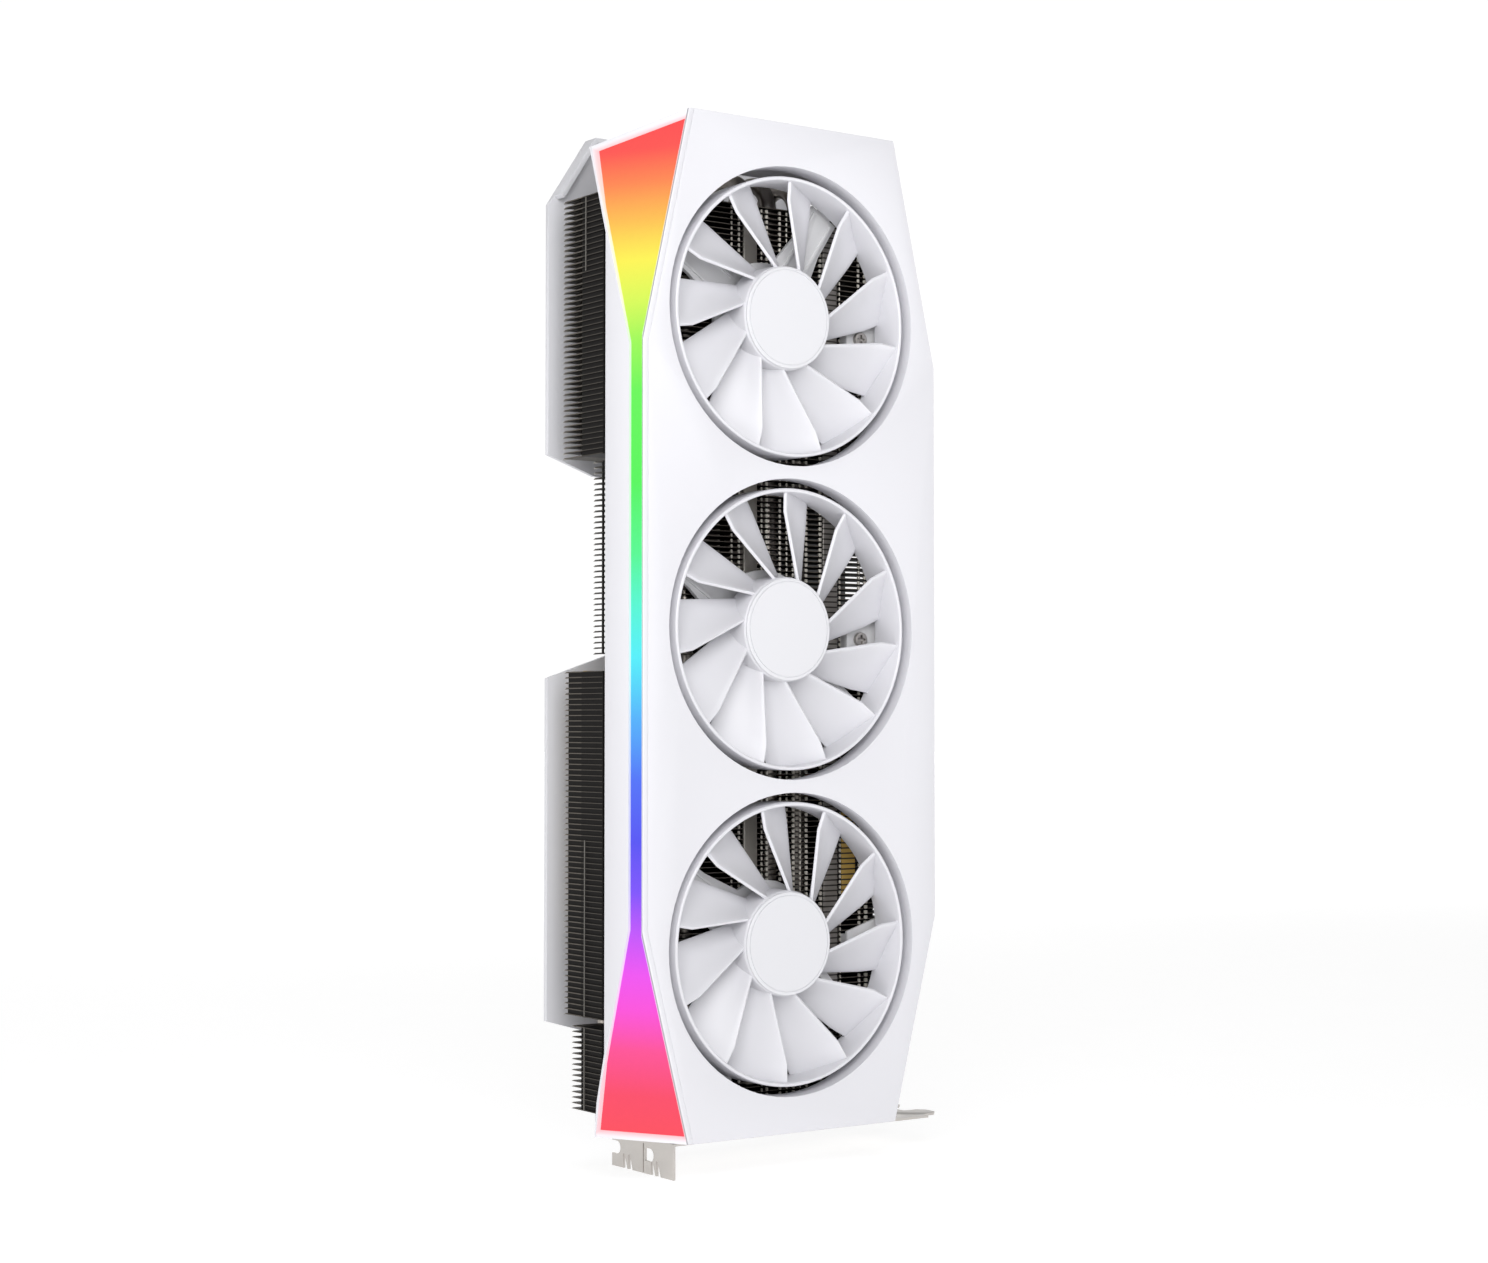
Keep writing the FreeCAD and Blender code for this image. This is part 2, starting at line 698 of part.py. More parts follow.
memory_spots = []
for step in (-18.0, 0.0, 18.0):
    memory_spots.append((gpu_x - 39.0, gpu_z + step, 12.0, 14.0))
    memory_spots.append((gpu_x + 37.5, gpu_z + step, 7.0, 14.0))
for step in (-15.0, 5.0):
    memory_spots.append((gpu_x + step, gpu_z + 39.5, 14.0, 12.0))
memory = []
pads = []
plate_back = cold_front + plate_thickness
for x, z, wide, tall in memory_spots:
    memory.append(box(x - wide / 2, x + wide / 2, pcb_front - 1.2, pcb_front, z - tall / 2, z + tall / 2))
    pads.append(box(x - wide / 2, x + wide / 2, plate_back, pcb_front - 1.2, z - tall / 2 + 0.5, z + tall / 2 - 0.5))
group(memory, "memory_chips")
group(pads, "thermal_pads")

coils = []
switches = []
for index in range(7):
    z = 172.0 + index * 8.6
    coils.append(box(10.0, 17.0, pcb_front - 5.0, pcb_front, z, z + 7.0))
    switches.append(box(20.0, 25.0, pcb_front - 1.0, pcb_front, z + 0.5, z + 6.5))
for index in range(3):
    z = 20.0 + index * 8.6
    coils.append(box(0.0, 7.0, pcb_front - 5.0, pcb_front, z + 6, z + 13.0))
    switches.append(box(10.0, 15.0, pcb_front - 1.0, pcb_front, z + 6.5, z + 12.5))
group(coils, "inductors")
group(switches, "power_stages")
cans = []
for index in range(7):
    z = 175.5 + index * 8.6
    cans.append(disc(32.0, z, 3.1, pcb_front - 5.6, pcb_front))
    cans.append(disc(2.5, z, 3.1, pcb_front - 5.6, pcb_front))
group(cans, "capacitors")

# ---------------------------------------------------------------- power sockets
socket_centres = [socket_middle_z + step * socket_pitch for step in (-1, 0, 1)]
socket_front = pcb_front - socket_height
pins = []
for index, z in enumerate(socket_centres):
    z0 = z - socket_width / 2.0
    housing = box(socket_mouth_x, socket_mouth_x + socket_length, socket_front, pcb_front, z0, z0 + socket_width)
    latch = box(socket_mouth_x, socket_mouth_x + 7.0, socket_front - 1.2, socket_front, z - 3.0, z + 3.0)
    housing = housing.fuse(latch)
    for column in range(4):
        for row in range(2):
            cz = z + (column - 1.5) * pin_pitch
            cd = pcb_front - socket_height / 2.0 + (row - 0.5) * (pin_pitch + 1.0)
            h = pin_cell / 2.0
            housing = housing.cut(box(socket_mouth_x - 1, socket_mouth_x + 13.0, cd - h, cd + h, cz - h, cz + h))
            housing = housing.cut(box(socket_mouth_x + 12.0, socket_mouth_x + 14.0, cd - 0.4, cd + 0.4, cz - 0.4, cz + 0.4))
            pins.append(box(socket_mouth_x + 3.0, socket_mouth_x + 14.0, cd - 0.4, cd + 0.4, cz - 0.4, cz + 0.4))
    save(housing.removeSplitter(), "power_socket_" + str(index + 1))
group(pins, "power_pins")

# ---------------------------------------------------------------- backplate
recess_x = -30.0
w = backplate_half_width
backplate_corner_z = shroud_top_z - backplate_corner_length
backplate_top_z = shroud_top_z + backplate_overhang
tail_half_width = w - 16.3
backplate_outline = [
    (-36.0, 3.0),
    (-36.0, 34.0),
    (-47.0, 37.1),
    (-w, 40.0),
    (-w, 159.6),
    (-32.5, 167.9),
    (recess_x, 169.4),
    (recess_x, 229.6),
    (-32.5, 231.2),
    (-38.0, 231.4),
    (-w, 238.1),
    (-w, backplate_corner_z),
    (-tail_half_width, backplate_top_z),
    (tail_half_width, backplate_top_z),
    (w, backplate_corner_z),
    (w, 40.0),
    (47.0, 37.1),
    (47.0, 3.0),
]
plate = prism_depth(backplate_outline, backplate_front, backplate_back)
tail_edge = [
    (-w + 2.1, backplate_corner_z + 3.2),
    (-tail_half_width - 0.5, backplate_top_z - 0.7),
    (-tail_half_width, backplate_top_z),
    (tail_half_width, backplate_top_z),
    (tail_half_width + 0.5, backplate_top_z - 0.7),
    (w - 2.1, backplate_corner_z + 3.2),
    (w - 3.6, backplate_corner_z + 2.1),
    (tail_half_width - 0.7, backplate_top_z - 1.9),
    (-tail_half_width + 0.7, backplate_top_z - 1.9),
    (-w + 3.6, backplate_corner_z + 2.1),
]
flange = prism_depth(tail_edge, backplate_front - flange_depth, backplate_front)
plate = plate.fuse(flange)
for index in range(9):
    z = 250.0 + index * 8.4
    for x0, x1 in ((-42.0, -4.0), (4.0, 42.0)):
        slot = prism_depth(
            [(x0, z), (x1, z + 4.0), (x1, z + 7.6), (x0, z + 3.6)],
            backplate_front - 1,
            backplate_back + 1,
        )
        plate = plate.cut(slot)
brace_window = box(gpu_x - 33.0, gpu_x + 33.0, backplate_front - 1, backplate_back + 1, gpu_z - 33.0, gpu_z + 33.0)
for x, z in retention_spots:
    brace_window = brace_window.fuse(disc(x, z, 5.0, backplate_front - 1, backplate_back + 1))
plate = plate.cut(brace_window)
for x, z in standoff_spots:
    plate = plate.cut(disc(x, z, 1.3, backplate_front - flange_depth, backplate_back + 1))
    plate = plate.cut(disc(x, z, 2.6, backplate_back - 0.9, backplate_back + 1))
save(plate.removeSplitter(), "backplate")

posts = []
plate_screws = []
for x, z in standoff_spots:
    post = disc(x, z, 2.6, pcb_back, backplate_front)
    posts.append(post.cut(disc(x, z, 1.2, pcb_back - 1, backplate_front + 1)))
    head = disc(x, z, 2.4, backplate_back - 0.9, backplate_back)
    recess = disc(x, z, 0.9, backplate_back - 0.6, backplate_back + 1)
    shank = disc(x, z, 1.15, pcb_front - 1.0, backplate_back - 0.9)
    plate_screws.append(head.cut(recess).fuse(shank).removeSplitter())
group(posts, "board_standoffs")
group(plate_screws, "backplate_screws")

# spring brace behind the processor
brace_front = pcb_back + 1.0
brace_back = brace_front + 1.6
ring = box(gpu_x - 18.0, gpu_x + 18.0, brace_front, brace_back, gpu_z - 18.0, gpu_z + 18.0)
ring = ring.cut(
    box(gpu_x - 11.0, gpu_x + 11.0, brace_front - 1, brace_back + 1, gpu_z - 11.0, gpu_z + 11.0)
)
arms = []
for index, (x, z) in enumerate(retention_spots):
    angle = math.degrees(math.atan2(z - gpu_z, x - gpu_x))
    reach = math.hypot(x - gpu_x, z - gpu_z)
    arm = box(gpu_x + 19.0, gpu_x + reach, brace_front, brace_back, gpu_z - 3.5, gpu_z + 3.5)
    arm = arm.fuse(disc(gpu_x + reach, gpu_z, 4.6, pcb_back, brace_back))
    arm.rotate(V(gpu_x, 0, gpu_z), V(0, 1, 0), -angle)
    arms.append(arm)
brace = ring.fuse(arms)
for x, z in retention_spots:
    brace = brace.cut(disc(x, z, 1.6, brace_front - 10, brace_back + 10))
save(brace.removeSplitter(), "spring_brace")
brace_screws = []
for x, z in retention_spots:
    head = disc(x, z, 3.0, brace_back, brace_back + 2.4)
    cross = box(x - 1.8, x + 1.8, brace_back + 1.4, brace_back + 3.4, z - 0.4, z + 0.4)
    cross = cross.fuse(box(x - 0.4, x + 0.4, brace_back + 1.4, brace_back + 3.4, z - 1.8, z + 1.8))
    shank = disc(x, z, 1.25, cold_front + 1.2, brace_back)
    brace_screws.append(head.cut(cross).fuse(shank).removeSplitter())
group(brace_screws, "brace_screws")

# ---------------------------------------------------------------- slot bracket
t = bracket_thickness
tongue_base_x = tongue_tip_x - tongue_length
slot_middles = (bracket_back - 9.6, bracket_back - 9.6 - slot_pitch)
face = box(bracket_tab_x - t, tongue_base_x, bracket_front, bracket_back, 0, t)
for middle in slot_middles:
    tongue = prism_z(
        [
            (tongue_base_x - 1, middle - tongue_width / 2.0 - 1.5),
            (tongue_base_x + 2, middle - tongue_width / 2.0),
            (tongue_tip_x - 2.5, middle - tongue_width / 2.0),
            (tongue_tip_x, middle - tongue_width / 2.0 + 2.5),
            (tongue_tip_x, middle + tongue_width / 2.0 - 2.5),
            (tongue_tip_x - 2.5, middle + tongue_width / 2.0),
            (tongue_base_x + 2, middle + tongue_width / 2.0),
            (tongue_base_x - 1, middle + tongue_width / 2.0 + 1.5),
        ],
        0,
        t,
    )
    face = face.fuse(tongue)
tab = box(bracket_tab_x - t, bracket_tab_x, bracket_front, bracket_back, -bracket_tab_length, t)
split = bracket_back - slot_pitch + 0.2
tab = tab.cut(box(bracket_tab_x - 2, bracket_tab_x + 1, split - 0.3, split + 0.3, -20, -1.2))
screw_half = 2.2
screw_z = -6.35 + 1.6
relief_offsets = (12.1, 9.3)
relief_pitch = 3.4
for index, high in enumerate((bracket_back, split - 0.3)):
    deep = 3.2 if index == 0 else 3.8
    notch = box(bracket_tab_x - 2, bracket_tab_x + 1, high - deep, high + 1 - index * 1.6, screw_z - screw_half, screw_z + screw_half)
    end = Part.makeCylinder(screw_half, 3, V(bracket_tab_x - 2, high - deep, screw_z), V(1, 0, 0))
    tab = tab.cut(notch.fuse(end))
    low = high - relief_offsets[index]
    for step in (0.0, relief_pitch):
        relief = prism_x(
            [
                (low + step - 1.3, -12.0),
                (low + step + 1.3, -12.0),
                (low + step + 1.5, -6.4),
                (low + step + 0.6, -6.4),
            ],
            bracket_tab_x - 2,
            bracket_tab_x + 1,
        )
        tab = tab.cut(relief)
face = face.fuse(tab)

port_middle_d = pcb_front - 3.4
display_x = (-14.0, 8.0, 30.0)
display_width = 16.3
display_height = 4.9
hdmi_x = 51.0
hdmi_width = 14.2
hdmi_height = 4.6
for x in display_x:
    face = face.cut(box(x - display_width / 2 - part_gap, x + display_width / 2 + part_gap,
                        port_middle_d - display_height / 2 - part_gap, port_middle_d + display_height / 2 + part_gap, -1, 3))
face = face.cut(box(hdmi_x - hdmi_width / 2 - part_gap, hdmi_x + hdmi_width / 2 + part_gap,
                    port_middle_d - hdmi_height / 2 - part_gap, port_middle_d + hdmi_height / 2 + part_gap, -1, 3))
vent_count = 12
vent_low = bracket_front + 4.0
vent_high = bracket_front + 15.5
for index in range(vent_count):
    x = -20.0 + index * 7.6
    vent = prism_z([(x, vent_low), (x + 4.4, vent_low), (x + 4.4, vent_high), (x, vent_high)], -1, 3)
    face = face.cut(vent)
lugs = []
for x, z in lug_spots:
    lug = box(x - 4.0, x + 4.0, pcb_front - t, pcb_front, 0, z + 4.0)
    face = face.fuse(lug.cut(disc(x, z, 1.3, pcb_front - t - 1, pcb_front + 1)))
save(face.removeSplitter(), "slot_bracket")


def port(x, wide, high, long, lip):
    low = port_middle_d - high / 2.0
    shell = box(x - wide / 2, x + wide / 2, low, low + high, lip, lip + long)
    hollow = box(x - wide / 2 + 0.5, x + wide / 2 - 0.5, low + 0.5, low + high - 0.5, lip - 1, lip + long - 3)
    shell = shell.cut(hollow)
    foot = box(x - wide / 2 + 1, x + wide / 2 - 1, low + high, pcb_front, lip + 3.0, lip + long)
    return shell.fuse(foot).removeSplitter()


def port_tongue(x, wide, high, long, lip):
    middle = port_middle_d
    return box(x - wide / 2 + 2.6, x + wide / 2 - 2.6, middle - 0.5, middle + 0.5, lip + 1.2, lip + long - 3)


port_lip = 0.1
group([port(x, display_width, display_height, 17.0, port_lip) for x in display_x], "display_ports")
save(port(hdmi_x, hdmi_width, hdmi_height, 11.5, port_lip), "hdmi_port")
inner = [port_tongue(x, display_width, display_height, 17.0, port_lip) for x in display_x]
inner.append(port_tongue(hdmi_x, hdmi_width, hdmi_height, 11.5, port_lip))
group(inner, "port_tongues")
lug_screws = []
for x, z in lug_spots:
    head = disc(x, z, 2.2, pcb_front - t - 1.4, pcb_front - t)
    shank = disc(x, z, 1.2, pcb_front - t, pcb_back + 1.0)
    nut = disc(x, z, 2.4, pcb_back, pcb_back + 1.6).cut(disc(x, z, 1.2, pcb_back - 1, pcb_back + 3))
    lug_screws.append(head.fuse([shank, nut]).removeSplitter())
group(lug_screws, "bracket_screws")
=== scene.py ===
"""Looks of an upright graphics card: shroud, three ringed fans, lit side bar, fins and bracket."""

import json
import logging
import math
from dataclasses import dataclass
from enum import Enum
from typing import Dict, List, Sequence, Tuple

import bpy
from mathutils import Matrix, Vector

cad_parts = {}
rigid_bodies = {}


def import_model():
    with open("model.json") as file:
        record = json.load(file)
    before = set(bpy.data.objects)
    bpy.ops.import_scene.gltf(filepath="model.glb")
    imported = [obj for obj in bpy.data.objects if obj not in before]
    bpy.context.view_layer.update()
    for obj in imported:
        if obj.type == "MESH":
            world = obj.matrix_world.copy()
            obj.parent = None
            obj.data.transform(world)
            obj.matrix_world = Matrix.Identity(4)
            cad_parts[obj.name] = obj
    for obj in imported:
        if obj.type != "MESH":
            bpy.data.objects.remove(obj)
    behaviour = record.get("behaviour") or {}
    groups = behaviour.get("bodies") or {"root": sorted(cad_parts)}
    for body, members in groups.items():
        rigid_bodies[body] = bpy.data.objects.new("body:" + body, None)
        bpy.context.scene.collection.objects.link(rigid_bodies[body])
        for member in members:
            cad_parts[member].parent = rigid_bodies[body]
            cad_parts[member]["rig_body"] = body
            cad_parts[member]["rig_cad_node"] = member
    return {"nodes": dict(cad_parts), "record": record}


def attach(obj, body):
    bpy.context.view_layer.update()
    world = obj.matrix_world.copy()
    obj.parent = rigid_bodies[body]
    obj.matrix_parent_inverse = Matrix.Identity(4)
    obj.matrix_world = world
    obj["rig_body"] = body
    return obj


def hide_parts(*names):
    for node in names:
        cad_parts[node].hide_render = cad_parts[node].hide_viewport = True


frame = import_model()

logging.basicConfig(level=logging.INFO, format="%(message)s")
log = logging.getLogger("card")

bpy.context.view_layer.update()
Colour = Tuple[float, float, float]

MM = 0.001
FRONT = -44.35  # Y of the shroud's front face, in millimetres
FIN_FRONT = 21.5  # depth of the fins' front edges
FIN_PITCH = 1.86
FIN_SIDE_X = 58.5
CORE_START = 44.0  # height of the first fin of the core stack
LENS_LOW, LENS_HIGH = 7.0, 345.0
WHITE: Colour = (0.715, 0.712, 0.748)


class Body(str, Enum):
    """The rigid bodies of the card."""

    CARD = "card"
    FAN_LOW = "fan_bracket_end"
    FAN_MIDDLE = "fan_middle"
    FAN_TAIL = "fan_tail"


class Grain(str, Enum):
    """The ways a surface can be grained."""

    MOULDED = "moulded"
    BRUSHED = "brushed"


FANS = (
    ("bracket_end", Body.FAN_LOW, 68.7, 104.8),
    ("middle", Body.FAN_MIDDLE, 176.0, 92.7),
    ("tail", Body.FAN_TAIL, 283.3, 90.3),
)


def depth(d: float) -> float:
    """Height along Y, in metres, of a plane d millimetres behind the front face."""
    return (d + FRONT) * MM


# ---------------------------------------------------------------- shader maths
class Wire:
    """A node output that Python operators work on."""

    def __init__(self, shader: "Shader", socket: bpy.types.NodeSocket) -> None:
        """Keeps the shader that owns the socket.

        Args:
            shader: the material being built.
            socket: the output to wrap.
        """
        self.shader = shader
        self.socket = socket

    def _do(self, operation: str, *values: object) -> "Wire":
        """Adds one Math node.

        Args:
            operation: the Math node's operation.
            values: numbers or wires, in socket order.

        Returns:
            The node's result.
        """
        inputs = {index: value for index, value in enumerate(values)}
        return self.shader.node("ShaderNodeMath", {"operation": operation}, inputs)

    def __add__(self, other: object) -> "Wire":
        """self + other."""
        return self._do("ADD", self, other)

    def __radd__(self, other: object) -> "Wire":
        """other + self."""
        return self._do("ADD", other, self)

    def __sub__(self, other: object) -> "Wire":
        """self - other."""
        return self._do("SUBTRACT", self, other)

    def __rsub__(self, other: object) -> "Wire":
        """other - self."""
        return self._do("SUBTRACT", other, self)

    def __mul__(self, other: object) -> "Wire":
        """self * other."""
        return self._do("MULTIPLY", self, other)

    def __truediv__(self, other: object) -> "Wire":
        """self / other."""
        return self._do("DIVIDE", self, other)

    def __mod__(self, other: object) -> "Wire":
        """The remainder, never negative."""
        return self._do("FLOORED_MODULO", self, other)

    def __abs__(self) -> "Wire":
        """The size of the value without its sign."""
        return self._do("ABSOLUTE", self)

    def least(self, other: object) -> "Wire":
        """The smaller of the two values."""
        return self._do("MINIMUM", self, other)

    def most(self, other: object) -> "Wire":
        """The larger of the two values."""
        return self._do("MAXIMUM", self, other)

    def step(self, low: float, high: float) -> "Wire":
        """A soft step from 0 at low to 1 at high.

        Args:
            low: where the step starts.
            high: where the step ends.

        Returns:
            The stepped value.
        """
        settings = {"interpolation_type": "SMOOTHSTEP"}
        inputs = {"Value": self, "From Min": low, "From Max": high}
        return self.shader.node("ShaderNodeMapRange", settings, inputs)

    def line(self, low: float, rise: float, fall: float, high: float) -> "Wire":
        """A soft band: 0 outside low and high, 1 between rise and fall.

        Args:
            low: where the band starts to rise.
            rise: where it is full.
            fall: where it starts to fall.
            high: where it has gone.

        Returns:
            The band.
        """
        return self.step(low, rise) * (1.0 - self.step(fall, high))


class Shader:
    """A material and its nodes."""

    def __init__(self, name: str) -> None:
        """Starts a material with a principled surface.

        Args:
            name: the material's name.
        """
        self.material = bpy.data.materials.new(name)
        self.material.use_nodes = True
        self.tree = self.material.node_tree
        self.surface = self.tree.nodes["Principled BSDF"]
        self.place = self.node("ShaderNodeTexCoord", {}, {}, "Object")
        split = self.tree.nodes.new("ShaderNodeSeparateXYZ")
        self.tree.links.new(self.place.socket, split.inputs[0])
        self.x, self.y, self.z = [Wire(self, split.outputs[i]) * 1000.0 for i in range(3)]
        self.d = self.y - FRONT

    def node(
        self,
        kind: str,
        settings: Dict[str, object],
        inputs: Dict[object, object],
        output: object = 0,
    ) -> Wire:
        """Adds a node.

        Args:
            kind: the node's type.
            settings: its settings, set before its sockets.
            inputs: values or wires by socket name or number.
            output: the output wanted, by name or number.

        Returns:
            The wanted output.
        """
        made = self.tree.nodes.new(kind)
        for key, value in settings.items():
            if key == "stops":
                self._stops(made, value)
            else:
                setattr(made, key, value)
        for key, value in inputs.items():
            if isinstance(value, Wire):
                self.tree.links.new(value.socket, made.inputs[key])
            else:
                made.inputs[key].default_value = value
        return Wire(self, made.outputs[output])

    @staticmethod
    def _stops(ramp: bpy.types.Node, stops: Sequence[Tuple[float, Colour]]) -> None:
        """Fills a colour ramp.

        Args:
            ramp: the ColorRamp node.
            stops: positions and colours, in order.
        """
        elements = ramp.color_ramp.elements
        while len(elements) > 1:
            elements.remove(elements[-1])
        for index, (position, colour) in enumerate(stops):
            element = elements[0] if index == 0 else elements.new(position)
            element.position = position
            element.color = (*colour, 1.0)

    def noise(
        self, scale: float, detail: float = 2.0, stretch: Tuple[float, float, float] = (1.0, 1.0, 1.0)
    ) -> Wire:
        """Noise on the piece's own coordinates.

        Args:
            scale: the noise's scale per metre.
            detail: its octaves.
            stretch: scale factors along X, Y and Z.

        Returns:
            The noise value.
        """
        mapped = self.node("ShaderNodeMapping", {}, {"Vector": self.place, "Scale": stretch})
        inputs = {"Vector": mapped, "Scale": scale, "Detail": detail}
        return self.node("ShaderNodeTexNoise", {}, inputs, "Fac")

    def rainbow(self, stops: Sequence[Tuple[float, Colour]]) -> Wire:
        """The lens's colour at this height of the card.

        Args:
            stops: positions and colours from the foot to the tail.

        Returns:
            The colour.
        """
        along = (self.z - LENS_LOW) / (LENS_HIGH - LENS_LOW)
        return self.node("ShaderNodeValToRGB", {"stops": stops}, {0: along}, "Color")

    def mix(self, factor: object, first: object, second: object) -> Wire:
        """Mixes two colours.

        Args:
            factor: 0 gives the first, 1 the second.
            first: a colour or a wire.
            second: a colour or a wire.

        Returns:
            The mixed colour.
        """
        first = (*first, 1.0) if isinstance(first, tuple) else first
        second = (*second, 1.0) if isinstance(second, tuple) else second
        return self.node("ShaderNodeMix", {"data_type": "RGBA"}, {0: factor, 6: first, 7: second}, 2)

    def set(self, **values: object) -> "Shader":
        """Sets sockets of the surface: base_color means Base Color.

        Args:
            values: values or wires by socket name, with underscores.

        Returns:
            The shader.
        """
        for key, value in values.items():
            name = key.replace("_", " ").title().replace("Ior", "IOR")
            socket = self.surface.inputs[name]
            if isinstance(value, Wire):
                self.tree.links.new(value.socket, socket)
            else:
                socket.default_value = (*value, 1.0) if isinstance(value, tuple) else value
        return self

    def bump(self, height: Wire, strength: float, distance: float = 0.0002) -> "Shader":
        """Raises the surface by a height.

        Args:
            height: the height map.
            strength: the strength of the relief.
            distance: its depth in metres.

        Returns:
            The shader.
        """
        inputs = {"Strength": strength, "Distance": distance, "Height": height}
        return self.set(normal=self.node("ShaderNodeBump", {}, inputs))


# ---------------------------------------------------------------- finishes
RAINBOW = (
    (0.000, (1.00, 0.085, 0.12)),
    (0.040, (0.98, 0.080, 0.15)),
    (0.085, (1.00, 0.090, 0.32)),
    (0.125, (0.98, 0.090, 0.72)),
    (0.160, (0.88, 0.095, 0.90)),
    (0.200, (0.55, 0.100, 0.98)),
    (0.240, (0.22, 0.095, 0.98)),
    (0.290, (0.10, 0.095, 0.92)),
    (0.350, (0.09, 0.180, 0.95)),
    (0.410, (0.095, 0.46, 0.98)),
    (0.470, (0.095, 0.88, 0.97)),
    (0.520, (0.100, 0.94, 0.66)),
    (0.570, (0.100, 0.95, 0.30)),
    (0.640, (0.100, 0.93, 0.115)),
    (0.730, (0.150, 0.94, 0.110)),
    (0.780, (0.360, 0.96, 0.105)),
    (0.820, (0.720, 0.97, 0.105)),
    (0.860, (1.000, 0.92, 0.095)),
    (0.900, (1.000, 0.55, 0.090)),
    (0.940, (1.000, 0.26, 0.090)),
    (0.975, (1.000, 0.10, 0.090)),
    (1.000, (1.000, 0.085, 0.090)),
)


@dataclass(frozen=True)
class Finish:
    """A plain finish: colour with slight mottling, varied roughness and a fine relief."""

    name: str
    colour: Colour
    roughness: float = 0.45
    metallic: float = 0.0
    grain: Grain = Grain.MOULDED
    mottle: float = 0.04
    relief: float = 0.08
    relief_scale: float = 2200.0
    coat: float = 0.0

    def make(self) -> bpy.types.Material:
        """Builds the material.

        Returns:
            The finished material.
        """
        shader = Shader(self.name)
        self.dress(shader)
        return shader.material

    def dress(self, shader: Shader) -> None:
        """Wires the finish into a shader.

        Args:
            shader: the material's nodes.
        """
        stretch = (0.05, 1.0, 1.0) if self.grain is Grain.BRUSHED else (1.0, 1.0, 1.0)
        fine = shader.noise(self.relief_scale, 2.0, stretch)
        broad = shader.noise(28.0, 3.0)
        dark = tuple(c * (1.0 - 2.0 * self.mottle) for c in self.colour)
        shader.set(
            base_color=shader.mix(broad * 0.7 + fine * 0.3, self.colour, dark),
            roughness=(self.roughness - 0.05) + broad * 0.06 + fine * 0.06,
            metallic=self.metallic,
            coat_weight=self.coat,
        )
        shader.bump(fine, self.relief)


@dataclass(frozen=True)
class StageFinish(Finish):
    """A pale ground that shows soft contact shade near the card and is plain white farther out.

    The fade's start and end are squared distances from the card's axis, in square millimetres.
    """

    glow: float = 0.98
    near: float = 1.0
    fade_start: float = 0.8e6
    fade_end: float = 5.0e6

    def dress(self, shader: Shader) -> None:
        """Wires the finish into a shader.

        Args:
            shader: the material's nodes.
        """
        super().dress(shader)
        far = (shader.x * shader.x + shader.y * shader.y).step(self.fade_start, self.fade_end)
        shader.set(
            emission_color=shader.mix(far, (self.near, self.near, self.near), (1.0, 1.0, 1.0)),
            emission_strength=self.glow,
            specular_ior_level=0.0,
        )


@dataclass(frozen=True)
class FinFinish(Finish):
    """Plated sheets with painted highlights along their thin cut edges, strongest on the front edges,
    while the gaps between them keep a near-black painted shade that turns dark brown behind open_d.
    """

    # colour of the painted highlights along the sheet edges
    edge: Colour = (0.16, 0.145, 0.125)
    # a lighter painted shade for the sheets' body behind open_d; in front of it they keep the near-black
    # painted shade
    rear: Colour = (0.07, 0.062, 0.053)
    open_d: float = 43.0
    start: float = CORE_START
    sheet: float = 0.4

    def dress(self, shader: Shader) -> None:
        """Wires the finish into a shader.

        Args:
            shader: the material's nodes.
        """
        side = abs(shader.x).step(FIN_SIDE_X - 0.35, FIN_SIDE_X - 0.1)
        front = 1.0 - shader.d.step(FIN_FRONT + 0.1, FIN_FRONT + 1.0)
        strip = abs(shader.x).step(FIN_SIDE_X - 1.2, FIN_SIDE_X - 1.0) * (1.0 - side)
        across = (shader.z - self.start) % FIN_PITCH
        middle = 1.0 - abs(across - self.sheet / 2).step(0.08, 0.16)
        fine = shader.noise(900.0, 2.0)
        # strength of the painted highlights: weak on the side edges, about five times stronger on the
        # front edges
        dim = 0.42 + front * 1.6
        shine = (side.most(front) * (0.01 + middle * dim) * (0.75 + fine * 0.5)) - strip
        light = shine.least(1.0).most(0.0)
        # behind open_d the body turns to the lighter painted shade, except on the strip just inside the
        # side faces
        rear = shader.d.step(self.open_d, self.open_d + 0.8) * (1.0 - strip)
        body = shader.mix(rear, self.colour, self.rear)
        shader.set(
            base_color=shader.mix(light, body, self.edge),
            roughness=self.roughness + fine * 0.1,
            metallic=light * self.metallic,
            specular_ior_level=0.1,
        )
        shader.bump(fine, self.relief)


@dataclass(frozen=True)
class LinedFinish(Finish):
    """A smooth sleeve crossed by dark lines of painted shade between the fins."""

    # colour of the painted shade lines between the fins
    line: Colour = (0.05, 0.045, 0.04)

    def dress(self, shader: Shader) -> None:
        """Wires the finish into a shader.

        Args:
            shader: the material's nodes.
        """
        super().dress(shader)
        across = (shader.z - CORE_START) % FIN_PITCH
        # the painted shade lines fall just below each fin sheet
        gap = across.line(1.15, 1.3, 1.7, 1.82)
        shader.set(base_color=shader.mix(gap, self.colour, self.line))


@dataclass(frozen=True)
class RainbowFinish(Finish):
    """A lens lit from behind, its colour running through the rainbow along the card."""

    glow: float = 1.0

    def dress(self, shader: Shader) -> None:
        """Wires the finish into a shader.

        Args:
            shader: the material's nodes.
        """
        cells = shader.noise(600.0, 1.0)
        shader.set(
            base_color=(0.01, 0.01, 0.01),
            roughness=0.5 + cells * 0.05,
            specular_ior_level=0.0,
            emission_color=shader.mix(cells * 0.03, shader.rainbow(RAINBOW), (0.0, 0.0, 0.0)),
            emission_strength=self.glow,
        )


